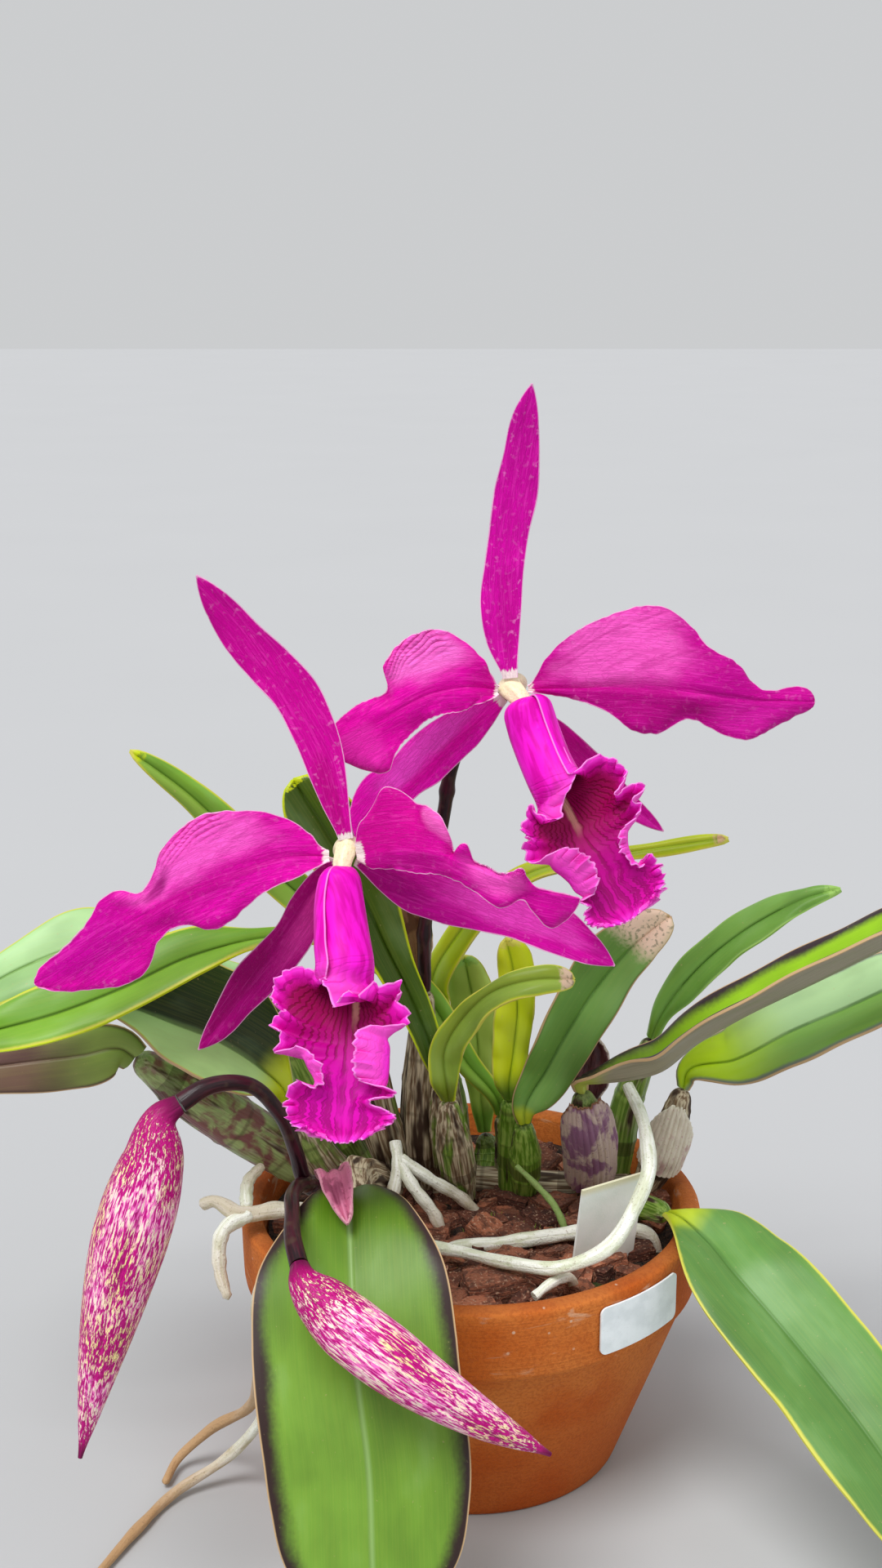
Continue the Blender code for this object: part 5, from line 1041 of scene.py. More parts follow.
def lip_look(name, front, tongue_at):
    """Vivid and smooth outside; crimson with spreading veins inside, paler on the frilled edges."""
    look = Look(name, 0.48, 0.11)
    place = look.mark("place")
    _, aside, _ = look.parts(place)
    _, _, upper = look.parts("part")
    near, along, _ = look.parts("edge")
    angle, distance, seed = look.parts("rays")
    grain = look.noise(place, 3.5, 2.0)
    drift = look.noise(place, 0.09, 2.0)
    drift = (drift - 0.5) * 6.0
    wiggle = (look.noise(place, 0.32, 2.0) - 0.5) * 3.4
    beat = angle * VEIN_BEAT + (drift + wiggle)
    thick = look.sums("SINE", beat).between(0.15, 0.95)
    forked = look.sums("SINE", beat * 2.0 + 1.2).between(0.2, 0.9)
    vein = look.most(thick, forked * distance.between(26.0, 36.0))
    broken = look.noise(look.joined(angle * 9.0, distance * 0.13, seed), 1.0, 3.0)
    vein = vein * broken.between(0.3, 0.55)
    rib = look.noise(place, (0.09, 0.55, 1.0), 3.0, 0.3)
    outside = look.mix(rib.between(0.38, 0.62), shade(214, 0, 164), shade(244, 20, 206))
    outside = look.mix(near.between(11.0, 1.0) * along.between(0.3, 0.62), outside, shade(246, 82, 204))
    ground = look.mix(along.between(0.56, 0.8), shade(170, 0, 98), front)
    rough_near = near + (grain - 0.5) * 3.0
    ground = look.mix(rough_near.between(7.0, 2.0), ground, shade(216, 4, 164))
    ground = look.mix(near.between(2.6, 0.7), ground, shade(244, 50, 206))
    inside = look.mix(vein * near.between(0.4, 4.0) * 0.62, ground, shade(128, 0, 76))
    throat = along.between(0.82, 0.56) * rough_near.between(2.0, 8.0)
    inside = look.mix(throat * (vein * 0.45 + 0.4), inside, shade(122, 0, 46))
    beside = abs(aside + tongue_at)
    tongue = beside.between(1.1, 0.3) * along.between(0.66, 0.55)
    inside = look.mix(tongue * 0.85, inside, shade(240, 176, 156))
    look.colour = look.mix(upper, outside, inside)
    look.over(near.between(0.45, 0.12), shade(252, 140, 228))
    height = rib * 0.3 + vein * -0.5
    look.set("Sheen Weight", 0.03)
    look.set("Sheen Tint", (1.0, 0.6, 0.92))
    return look.done(height, 0.2)


def make_lips():
    looks = (lip_look("low_lip_veined", shade(214, 0, 172), 1.6),
             # The high lip's darker front colour is painted shade: its front lobe lies partly in shade.
             lip_look("high_lip_veined", shade(188, 0, 140), 0.2))
    middle = LIP_GRID[1] // 2
    for number, (name, shape) in enumerate(LIPS.items()):
        path = Path(shape["points"])
        grid, places = sheet_grid(*LIP_GRID, lambda u, v: lip_point(path, shape, u, v))
        halves = []
        for row in grid:
            reach = [(b - a).length for a, b in zip(row, row[1:])]
            halves.append([sum(reach[:middle])] * middle + [sum(reach[middle:])] * (middle + 1))
        verts, faces, marks = skins(grid, halves, path.length, LIP_THICKNESS, 0.45, 3.1 * number)
        places = 2 * [place for row in places for place in row]
        marks["edge"] = [(near, place, half) for (near, _, half), place in zip(marks["edge"], places)]
        start = shape["mouth"] * path.length / MM - VEIN_START
        marks["rays"] = [(math.atan2(aside, max(2.0, far - start)), math.hypot(far - start, aside), seed)
                         for far, aside, seed in marks["place"]]
        add_piece(name + "_frilled", (verts, faces, marks), looks[number], [name], corner=80)


# The column and ovary of each flower: the hub that the tepals stand on, with its cap at the end.
COLUMN_RADII = (1.8, 3.0, 3.4, 2.8, 2.4, 2.2, 2.1, 2.0, 1.8)
LOW_COLUMN = [(-34, -51, 206), (-35, -55, 203), (-35, -58, 195), (-34, -62, 187)]
HIGH_COLUMN = [(10, -20, 243), (13, -24, 240), (16, -28, 232), (19, -33, 225)]


def column_look():
    """Pale and waxy, with the seam of its cap near the end."""
    look = Look("column_cream", 0.38)
    place = look.mark("place")
    far, _, _ = look.parts("edge")
    grain = look.noise(place, 1.3, 3.0)
    upper = look.mix(far.between(0.5, 2.5), shade(246, 214, 234), shade(240, 226, 222))
    look.colour = look.mix(far.between(3.4, 3.8), upper, shade(250, 236, 196))
    seam = abs(far - 3.6).between(0.45, 0.1)
    look.over(seam * 0.6, shade(206, 190, 146))
    look.over(grain.between(0.5, 0.7) * 0.35, shade(222, 196, 120))
    return look.done(grain + seam * -0.8, 0.25)


def column_relief(u, angle):
    return 0.05 * math.sin(5 * angle) * ease(u, 0.15, 0.4) + 0.10 * math.sin(2 * angle + 1.0)


def make_columns():
    look = column_look()
    columns = (("low_column", LOW_COLUMN, LOW_STALK), ("high_column", HIGH_COLUMN, FLOWER_STEM))
    for name, points, bearer in columns:
        made = round_tube(joined(points, Path(bearer)), COLUMN_RADII, COLUMN_SIDES, 60, column_relief,
                          (False, True))
        add_piece(name + "_ribbed", made, look, [name])


# Stems that carry the flowers and the buds.
FLOWER_STEM = [(-14, 2, 162), (-12, 3, 179), (-8, 2, 202), (-6, 0, 215), (-1, -3, 228), (9, -11, 239)]
LOW_STALK = [(-12, 3, 178), (-17, -8, 188), (-26, -26, 197), (-33, -42, 203)]
BUD_STEM = [(-38.5, -45, 102.5), (-42, -53, 108), (-46, -59, 114), (-48, -63, 124), (-52, -68, 138),
    (-60, -74, 149), (-70, -79, 150), (-76, -82, 147)]
SECOND_BUD_STEM = [(-44, -57, 112), (-47, -66, 116), (-48, -78, 119), (-47, -92, 121), (-46, -104, 120),
    (-44, -111, 117)]
BUD_ONE = [(-83, -87, 133), (-90, -90, 110), (-97, -93, 83), (-104, -95, 52)]
BUD_TWO = [(-36, -119, 109), (-20, -128, 100), (-1, -128, 86), (18, -122, 71)]
BUD_ONE_RADII = (2.6, 6.8, 9.2, 9.6, 8.6, 7.0, 5.0, 2.8, 0.6)
BUD_TWO_RADII = (2.4, 6.2, 7.8, 7.8, 7.0, 5.8, 4.4, 2.6, 0.6)


def stem_look():
    """Dark purple streaks with browner patches."""
    look = Look("stem_purple", 0.36, 0.3)
    place = look.mark("place")
    streak = look.noise(place, (0.1, 0.9, 0.9), 3.0)
    blotch = look.noise(place, 0.22, 2.0)
    look.colour = look.mix(streak.between(0.35, 0.65), shade(30, 6, 14), shade(66, 20, 32))
    look.over(blotch.between(0.56, 0.7) * 0.5, shade(76, 58, 42))
    return look.done(streak, 0.25)


def swellings(u, knots, reach):
    """Rounded swellings at the knots, each as high as 1."""
    return sum(math.exp(-((u - knot) / reach) ** 2) for knot in knots)


def stem_relief(knots):
    """Small swellings where a stem has its joints."""
    def relief(u, angle):
        return 0.22 * swellings(u, knots, 0.018) + 0.03 * math.sin(3 * angle + 9 * u)
    return relief


def make_stems():
    look = stem_look()
    foot = joined(FLOWER_STEM, Path(BULBS["stem_bulb"][0]))
    flowers = Mesh()
    flowers.take(*round_tube(foot, 2.0, STEM_SIDES, 120, stem_relief((0.18, 0.62)), (False, True)))
    flowers.take(*round_tube(LOW_STALK, (1.5, 1.7, 1.8, 1.8), STEM_SIDES, 60, stem_relief((0.08,)),
                             (True, False)))
    flowers.piece("flower_stem_jointed", look, ["flower_stem"])
    buds = Mesh()
    radii = (2.2, 2.4, 2.2, 2.0, 2.0, 2.0, 2.2, 2.6)
    buds.take(*round_tube(BUD_STEM, radii, STEM_SIDES, 130, stem_relief((0.12, 0.20)), (True, False)))
    buds.take(*round_tube(SECOND_BUD_STEM, (2.0, 2.0, 2.0, 2.4), STEM_SIDES, 90, stem_relief((0.10,)),
                          (True, False)))
    buds.piece("bud_stem_jointed", look, ["bud_stem"])


def bud_look():
    """Cream with lengthwise magenta flecks, solid magenta at the foot, the tip and along the seams."""
    look = Look("bud_speckled", 0.4, 0.18)
    place = look.mark("place")
    u, _, _ = look.parts("part")
    large = look.noise(place, (0.3, 1.9, 1.9), 5.0, 0.4)
    small = look.noise(place, (0.8, 4.2, 4.2), 3.0, 0.5)
    drift = look.noise(place, (0.05, 0.12, 0.12), 1.0)
    seam_near, _, _ = look.parts("seam")
    ends = look.most(u.between(0.32, 0.0), u.between(0.8, 1.0))
    solid = look.most(u.between(0.07, 0.0), u.between(0.94, 1.0))
    lift = ends * 0.1 + (drift - 0.5) * 0.3
    lift = lift + (solid * 0.3 + 0.008)
    flecks = (large + lift).between(0.512, 0.562)
    dots = (small + lift).between(0.56, 0.62)
    ground = look.mix(drift.between(0.35, 0.65), shade(252, 228, 216), shade(248, 232, 156))
    ground = look.mix(large.between(0.4, 0.52), ground, shade(242, 106, 190))
    look.colour = look.mix(flecks * 0.97, ground, shade(194, 0, 126))
    look.over(dots * 0.85, shade(160, 0, 98))
    look.over(solid * 0.94, shade(92, 0, 56))
    look.over(seam_near.between(0.35, 0.1) * 0.5, shade(150, 20, 96))
    height = flecks * -0.3 + look.noise(place, (0.08, 1.4, 1.4), 2.0)
    return look.done(height, 0.3)


def bud_relief(start):
    """Three seams that wind a little along the bud, where the closed sepals meet."""
    def relief(u, angle):
        away = seam_distance(u, angle, start)
        return 0.035 - 0.09 * math.exp(-(away / 0.10) ** 2) * ease(u, 0.05, 0.2)
    return relief


def seam_distance(u, angle, start):
    """The angle from the nearest of a bud's three seams."""
    third = math.tau / 3
    turn = (angle - start - 0.5 * u) % third
    return min(turn, third - turn)


def make_buds():
    look = bud_look()
    buds = (("bud_left", BUD_ONE, Path(BUD_STEM), BUD_ONE_RADII, 0.9),
            ("bud_front", BUD_TWO, Path(SECOND_BUD_STEM), BUD_TWO_RADII, 2.3))
    for number, (name, points, bearer, radii, start) in enumerate(buds):
        made = round_tube(joined(points, bearer), radii, BUD_SIDES, 130, bud_relief(start),
                          seed=20.0 * number)
        marks = made[2]
        marks["seam"] = [(seam_distance(u, turn * math.tau, start) * radius, 0.0, 0.0)
                         for (u, turn, _), (_, _, radius) in zip(marks["part"], marks["edge"])]
        add_piece(name + "_seamed", made, look, [name])


# Pseudobulbs: foot, middle and top of each, with the radii from foot to top, and how green,
# dry and purple it is.
BULBS = {
    "left_mottled": ([(-36, 12, 74), (-62, -1, 98), (-80, -9, 115), (-98, -16, 132)],
        (4.0, 6.8, 7.8, 7.4, 3.8), (0.7, 0.25, 0.8)),
    "far_left": ([(-30, 20, 74), (-48, 22, 104), (-62, 20, 136)], (4, 6, 5.5, 3), (0.8, 0.2, 0.1)),
    "left_low": ([(-36, 12, 74), (-47, 0, 94), (-55, -8, 115)], (4, 6, 5.5, 3), (0.5, 0.5, 0.3)),
    "behind_lip": ([(-22, 16, 74), (-30, 2, 116), (-36, -10, 161)], (4, 6, 6, 5, 3), (0.5, 0.7, 0.1)),
    "front": ([(-24, 14, 74), (-34, -14, 93), (-33, -46, 102)], (4, 6, 6, 5, 3), (0.3, 0.9, 0.1)),
    "stem_bulb": ([(-14, 18, 74), (-15, 9, 110), (-14, 4, 145)], (4, 6.5, 6, 4.5, 3), (0.3, 0.9, 0.1)),
    "middle_left": ([(-6, 18, 74), (-7, 7, 96), (-9, -4, 118)], (4, 5.5, 5, 3), (0.4, 0.7, 0.0)),
    "middle_back": ([(-4, 28, 74), (-6, 24, 96), (-7, 20, 115)], (4, 5.5, 5, 2.8), (0.6, 0.4, 0.0)),
    "middle_front": ([(-2, 12, 74), (-5, 1, 96), (-7, -8, 115)], (4, 5.5, 5, 2.8), (0.7, 0.6, 0.0)),
    "short_back": ([(5, 23, 74), (6, 28, 80), (5, 29, 87)], (4, 4.5, 2.8), (0.8, 0.2, 0.0)),
    "centre_one": ([(12, 22, 74), (13, 19, 88), (10, 17, 99)], (4, 5, 2.8), (0.9, 0.3, 0.0)),
    "centre_two": ([(17, 14, 74), (17, 6, 90), (16, 0, 104)], (4, 5, 2.8), (1.0, 0.1, 0.0)),
    "centre_three": ([(13, 16, 74), (13, 11, 92), (12, 6, 109)], (4, 4.5, 2.8), (1.0, 0.0, 0.0)),
    "purple": ([(37, 16, 74), (37, 6, 90), (33, -10, 118)], (4.5, 6.6, 6.6, 5.5, 3), (0.9, 0.1, 0.4)),
    "right_back": ([(46, 20, 74), (49, 20, 100), (56, 15, 125)], (4, 5, 4.5, 2.8), (0.9, 0.2, 0.1)),
    "right": ([(54, 14, 74), (60, 8, 92), (65, 7, 112)], (4, 5.5, 5, 3), (0.5, 0.8, 0.1)),
    "right_low": ([(45, -2, 74), (52, -12, 82), (58, -21, 84)], (3.5, 4, 3.6, 3), (0.9, 0.2, 0.0)),
}
RHIZOME = [(-46, 14, 74), (-30, 17, 75), (-14, 19, 75), (2, 21, 75), (16, 18, 75), (34, 16, 75),
    (52, 16, 75)]
RHIZOME_BRANCH = [(47, 18, 75), (48, 8, 75), (45, -4, 75)]
RHIZOME_TINT = (0.3, 1.0, 0.0)


def bulb_look():
    """Green, purple-blotched or dry and papery, by the mark that each bulb carries."""
    look = Look("bulb_skin", 0.46, 0.3)
    place = look.mark("place")
    green, dry, purple = look.parts("tint")
    fibre = look.noise(place, (0.05, 1.3, 1.3), 3.0)
    blotch = look.noise(place, (0.16, 0.2, 0.2), 3.0, 0.6)
    patch = look.noise(place, (0.05, 0.28, 0.28), 2.0)
    look.colour = look.mix(fibre.between(0.38, 0.64), shade(86, 126, 26), shade(146, 176, 78))
    look.over((1.0 - green) * 0.6, shade(92, 84, 40))
    # Partly painted light: purple-tinted bulbs get a paler green ground, their own tone lightened to offset
    # the shade of the flowers and leaves over them.
    look.over(purple * 0.75, look.mix(fibre, shade(148, 164, 98), shade(202, 212, 162)))
    stained = (blotch + purple * 0.2).between(0.56, 0.76)
    look.over(stained * look.least(0.85, purple * 1.3), shade(124, 44, 72))
    husk = look.mix(fibre.between(0.4, 0.6), shade(124, 100, 74), shade(208, 194, 164))
    husk = look.mix(patch.between(0.52, 0.66), husk, shade(64, 46, 34))
    covered = (patch + dry * 0.42).between(0.62, 0.74)
    look.over(covered, husk)
    rings = look.noise(look.mark("edge"), (0.11, 0.0, 0.0), 0.0)
    look.over(rings.between(0.62, 0.64) * 0.5, shade(60, 44, 30))
    height = fibre + covered * 0.9
    look.set("Roughness", covered * 0.35 + 0.36)
    return look.done(height, 0.5)


def bulb_relief(dry, seed):
    """Lengthwise wrinkles, deeper on an old bulb, and rings where its sheaths grew."""
    def relief(u, angle):
        deep = 0.02 + 0.05 * dry
        folds = deep * math.sin(7 * angle + seed) + 0.5 * deep * math.sin(13 * angle + 2 * seed + 3 * u)
        ring = 0.05 * swellings(u, (0.30, 0.58, 0.84), 0.016)
        return folds * ease(u, 0.0, 0.2) * ease(u, 1.0, 0.85) + ring
    return relief


def make_bulbs():
    """All pseudobulbs and the creeping stem that bears them."""
    body = Mesh()
    for points, radius, rings_along, seed in ((RHIZOME, 4.2, 90, 0.4), (RHIZOME_BRANCH, 3.6, 30, 1.4)):
        body.take(*round_tube(points, radius, STEM_SIDES, rings_along, bulb_relief(1.0, seed), (True, True),
                              tint=RHIZOME_TINT))
    for number, (points, radii, tint) in enumerate(BULBS.values()):
        body.take(*round_tube(points, radii, BULB_SIDES, 70, bulb_relief(tint[1], number), (False, True),
                              seed=9.0 * number, tint=tint))
    body.piece("pseudobulbs_wrinkled", bulb_look(), ["pseudobulbs"])


# Roots: one group to a node, each branch with its points and its radii.
ROOTS = {
    "root_arch": [([(47, -2, 117), (50, -9, 112), (51, -24, 108), (50, -36, 104), (46, -43, 98),
        (38, -50, 89), (25, -52, 84), (10, -44, 81), (-6, -33, 79), (-22, -22, 74), (-28, -18, 64)],
        (1.7, 2.0, 2.2, 2.2, 2.1, 2.0, 1.9, 1.8, 1.8, 1.9, 1.9))],
    "root_across": [([(-12, -14, 66), (-4, -20, 73), (6, -22, 75), (20, -20, 76), (34, -18, 77),
        (46, -18, 78), (53, -18, 76), (56, -18, 66)], (1.8, 2.0, 2.1, 2.2, 2.2, 2.2, 2.0, 1.8))],
    "root_fork": [([(-23, 1, 97), (-22, -4, 92), (-24, -8, 82), (-26, -12, 66)], (1.8, 2.0, 2.0, 1.8)),
        ([(-22, -3, 94), (-12, -2, 86), (-3, 2, 78), (8, 4, 64)], (1.8, 1.9, 1.9, 1.6)),
        ([(-22, -4, 93), (-17, -8, 86), (-11, -9, 78), (-8, -9, 64)], (1.8, 1.9, 1.9, 1.6))],
    "root_green": [([(14, -1, 90), (20, -6, 86), (25, -11, 82), (28, -14, 76), (29, -16, 65)],
        (0.8, 1.0, 1.1, 1.1, 1.0))],
    "root_stub": [([(17, -56, 77), (22, -52, 79), (27, -47, 78), (30, -43, 64)], (1.3, 1.5, 1.5, 1.4))],
    "root_left": [([(-36, -6, 64), (-44, -14, 80), (-57, -22, 86), (-68, -26, 87), (-76, -24, 90),
        (-80, -23, 88)], (2.0, 2.5, 2.6, 2.5, 2.3, 1.8)), ([(-64, -25, 87), (-72, -30, 84), (-73, -36, 74),
        (-70, -42, 68)], (2.4, 2.2, 2.0, 1.4)), ([(-66, -25, 88), (-66, -17, 93), (-62, -12, 96)],
        (2.0, 1.9, 1.4))],
    "root_trailing": [([(-34, -28, 64), (-42, -34, 80), (-51, -44, 87), (-58, -50, 80), (-61, -45, 52),
        (-66, -32, 27), (-80, -22, 12), (-89, -24, 4), (-92, -34, 2)], (2.0, 2.4, 2.4, 2.2, 1.9, 1.7, 1.6,
        1.5, 1.2)), ([(-61, -46, 55), (-63, -36, 24), (-74, -32, 9), (-87, -38, 3), (-97, -56, 2),
        (-105, -76, 2)], (1.7, 1.6, 1.6, 1.5, 1.5, 1.2))],
}
# How far each root group turns tan towards its end.
ROOT_TAN = {
    "root_arch": 0.0,
    "root_across": 0.1,
    "root_fork": 0.5,
    "root_green": 0.0,
    "root_stub": 0.8,
    "root_left": 0.45,
    "root_trailing": 1.0,
}


def root_look():
    """Chalky velamen, greenish where it is thin and tan where it has aged."""
    look = Look("root_velamen", 0.62)
    place = look.mark("place")
    u, _, _ = look.parts("part")
    aged, thin, _ = look.parts("tint")
    mottle = look.noise(place, (0.14, 0.35, 0.35), 3.0)
    streak = look.noise(place, (0.06, 1.2, 1.2), 3.0)
    grit = look.noise(place, 1.6, 3.0)
    look.colour = look.mix(streak.between(0.35, 0.65), shade(226, 229, 208), shade(250, 252, 242))
    look.over(mottle.between(0.5, 0.66) * 0.55, shade(196, 204, 160))
    old = aged * (u + mottle * 0.4).between(0.35, 1.0)
    look.over(old, shade(186, 148, 106))
    look.over(thin, shade(132, 158, 84))
    look.over(grit.between(0.62, 0.7) * 0.5, shade(134, 104, 72))
    return look.done(streak + grit, 0.3)


def root_relief(u, angle):
    return (0.06 * math.sin(31 * u + 1.3) + 0.04 * math.sin(53 * u + 2 * angle)
            + 0.035 * math.sin(3 * angle + 12 * u))


def make_roots():
    look = root_look()
    for number, (name, branches) in enumerate(ROOTS.items()):
        root = Mesh()
        thin = 1.0 if name == "root_green" else 0.0
        for k, (points, radii) in enumerate(branches):
            length = Path(points).length / MM
            rings_along = max(24, int(length * 0.9))
            root.take(*round_tube(points, radii, ROOT_SIDES, rings_along, root_relief, (k > 0, True),
                                  seed=5.0 * (number + 3 * k), tint=(ROOT_TAN[name], thin, 0)))
        root.piece(name + "_velamen", look, [name])


# Papery sheaths: part tubes wrapped round a bulb, open on one side and looser towards the top.
WRAPS = {
    "bulb_sheath_purple": dict(bulb="purple", start=0.16, end=1.0, middle=-80,
        spread_angle=(95, 110, 110, 100, 60), slack=(0.8, 1.0, 1.6, 2.0)),
    "bulb_sheath_white": dict(bulb="right", start=0.35, end=0.9, middle=-100,
        spread_angle=(100, 110, 90, 60, 20), slack=(0.8, 1.0, 1.4, 2.0)),
}
# Open sheaths and the bract, short sheets that curve round what they cover: points along the middle, the
# way each faces, the half widths of both sides from base to tip and how far each side curls, in degrees.
SHEATHS = {
    "flower_sheath": ([(-16, 8.5, 149), (-17, 8.5, 157), (-18, 7.5, 166), (-18, 5.5, 175)], VIEWER,
        (3, 6, 7, 5, 1), 60),
    "leaf_sheath_maroon": ([(35, -1, 113), (36, -0.5, 118), (37, 0, 126), (36, -1, 133)], VIEWER,
        (4, 6, 6, 4, 1), 40),
    "bud_bract": ([(-40, -56, 112), (-38, -66, 120), (-36, -80, 122), (-33, -90, 117)], (0, -0.4, 0.9),
        (2, 5, 5, 4, 1), 40),
}
# The ground, stain and rim colours of each sheath, and how much of it is stained.
SHEATH_COLOURS = {
    "bulb_sheath_purple": (shade(206, 184, 172), shade(128, 70, 122), shade(130, 88, 64), 0.03),
    "bulb_sheath_white": (shade(222, 214, 194), shade(190, 150, 150), shade(232, 226, 206), -0.02),
    # flower_sheath: lightened as painted light, to offset the shade that the flowers cast on it.
    "flower_sheath": (shade(198, 146, 108), shade(134, 86, 64), shade(232, 206, 172), 0.0),
    "leaf_sheath_maroon": (shade(92, 40, 46), shade(58, 24, 32), shade(216, 200, 190), 0.05),
    "bud_bract": (shade(198, 108, 140), shade(134, 52, 84), shade(206, 140, 156), 0.0),
}

# How far a wrapped sheath's end is torn, and how high its ribs and its crumples are, in metres.
SHEATH_RAG = 0.0012
SHEATH_RIB = 0.00025
SHEATH_CRUMPLE = 0.0003


def sheath_look(name, ground, stain, rim, stained):
    """Dry fibrous paper with stains and a coloured rim."""
    look = Look(name, 0.55)
    place = look.mark("place")
    near, _, _ = look.parts("edge")
    fibre = look.noise(place, (0.05, 1.6, 1.0), 3.0)
    blotch = look.noise(place, (0.1, 0.16, 1.0), 4.0, 0.8)
    speck = look.noise(place, 1.3, 3.0)
    look.colour = look.mix(fibre.between(0.36, 0.64), look.mix(0.14, ground, stain), ground)
    look.over((blotch + stained).between(0.5, 0.62) * 0.85, stain)
    look.over(speck.between(0.6, 0.68) * 0.6, stain)
    look.over((near + (speck - 0.5) * 1.4).between(0.9, 0.3), rim)
    return look.done(fibre + speck * 0.4, 0.4)


def torn_wave(seed):
    """A dry sheath's ragged edge and lengthwise folds."""
    def wave(u, v):
        reach = abs(v)
        rise = 0.0004 * math.sin(9 * v + seed) + 0.0003 * reach * math.sin(23 * u + seed)
        return rise, 0.0005 * ease(reach, 0.6, 1.0) * uneven(u * 9, v * 2, seed)
    return wave


def wrap(bulb, start, end, middle, spread_angle, slack, seed):
    """A sheath wrapped round a part of a bulb."""
    points, radii, _ = BULBS[bulb]
    path = Path(points)

    def place(part, v):
        u = start + (end - start) * part
        along = path.tangent(u)
        side = squared(Vector((1, 0, 0)), along)
        other = along.cross(side)
        reach = (spread(radii, u) + spread(slack, part)) * MM + SHEATH_THICKNESS / 2
        ragged = SHEATH_RAG * ease(part, 0.7, 1.0) * uneven(v * 5, 1.5, 2.5)
        angle = math.radians(middle + spread(spread_angle, part) * v)
        ribbed = reach + SHEATH_RIB * math.sin(26 * angle) + SHEATH_CRUMPLE * uneven(part * 6, v * 4, 8.8)
        outward = side * math.cos(angle) + other * math.sin(angle)
        spot = path.at(u) + outward * ribbed + along * ragged
        return spot, reach * math.radians(spread(spread_angle, part))

    grid = sheet_grid(*WRAP_GRID, place)
    return skins(*grid, path.length * (end - start), SHEATH_THICKNESS, 0.5, seed)


def make_sheaths():
    for number, (name, shape) in enumerate(WRAPS.items()):
        look = sheath_look(name + "_paper", *SHEATH_COLOURS[name])
        made = wrap(**shape, seed=4.0 * number)
        add_piece(name + "_torn", made, look, [name])
    for number, (name, (points, facing, widths, roll)) in enumerate(SHEATHS.items()):
        look = sheath_look(name + "_paper", *SHEATH_COLOURS[name])
        made = blade(points, facing, widths, widths, SHEATH_THICKNESS, *SHEATH_GRID,
                     roll=roll, wave=torn_wave(number), point=0.8, rim=0.5, seed=6.0 * number)
        add_piece(name + "_torn", made, look, [name])


def inner_radius(height):
    """Radius of the pot's inner wall at a height."""
    if height < POT_NECK:
        part = (height - POT_FLOOR) / (POT_NECK - POT_FLOOR)
        return POT_FLOOR_RADIUS + part * (POT_INNER_NECK_RADIUS - POT_FLOOR_RADIUS)
    part = (height - POT_NECK) / POT_BAND_HEIGHT
    return POT_INNER_NECK_RADIUS + part * (POT_INNER_RIM_RADIUS - POT_INNER_NECK_RADIUS)


def turned_mesh(profile, sides):
    """A solid turned about Z from a closed profile of radius and height, listed from its foot outwards."""
    verts = []
    rings = []
    for radius, height in profile:
        if radius < 1e-6:
            rings.append([len(verts)])
            verts.append(Vector((0, 0, height)))
        else:
            rings.append(list(range(len(verts), len(verts) + sides)))
            verts += [around(radius, math.tau * k / sides, height) for k in range(sides)]
    faces = []
    for low, high in zip(rings, rings[1:]):
        for k in range(sides):
            n = (k + 1) % sides
            if len(low) == 1:
                faces.append((low[0], high[n], high[k]))
            elif len(high) == 1:
                faces.append((low[k], low[n], high[0]))
            else:
                faces.append((low[k], low[n], high[n], high[k]))
    return verts, faces, {}


def pot_look():
    """Fired clay with turning lines, pale scale on the rim and darker, redder clay lower down."""
    look = Look("clay_terracotta", 0.78, 0.18)
    place = look.solid_place()
    _, _, z = look.parts(place)
    cloud = look.noise(place, 0.035, 4.0)
    smear = look.noise(place, (0.06, 0.06, 0.22), 5.0, 0.8)
    grain = look.noise(place, 1.1, 6.0)
    fine = look.noise(place, 4.0, 3.0)
    look.colour = look.mix(cloud.between(0.35, 0.66), shade(188, 88, 24), shade(206, 118, 52))
    look.over(z.between(50.0, 12.0) * 0.55, shade(170, 66, 10))
    look.over(grain.between(0.46, 0.6) * 0.3, shade(146, 62, 20))
    look.over(fine.between(0.6, 0.72) * 0.3, shade(212, 150, 100))
    scale = smear.between(0.6, 0.7) * z.between(40.0, 78.0)
    look.over(scale * 0.4, shade(222, 196, 168))
    specks = look.cells(place, 0.16).between(0.1, 0.05)
    look.over(specks * (z.between(50.0, 80.0) * 0.6), shade(232, 214, 190))
    rim = z.between(78.6, 79.8)
    look.over(rim * 0.35, shade(120, 66, 38))
    lathe = look.noise(place, (0.004, 0.004, 1.4), 2.0)
    height = grain * 0.5 + (lathe * 0.5 + fine * 0.3)
    return look.done(height, 0.35)


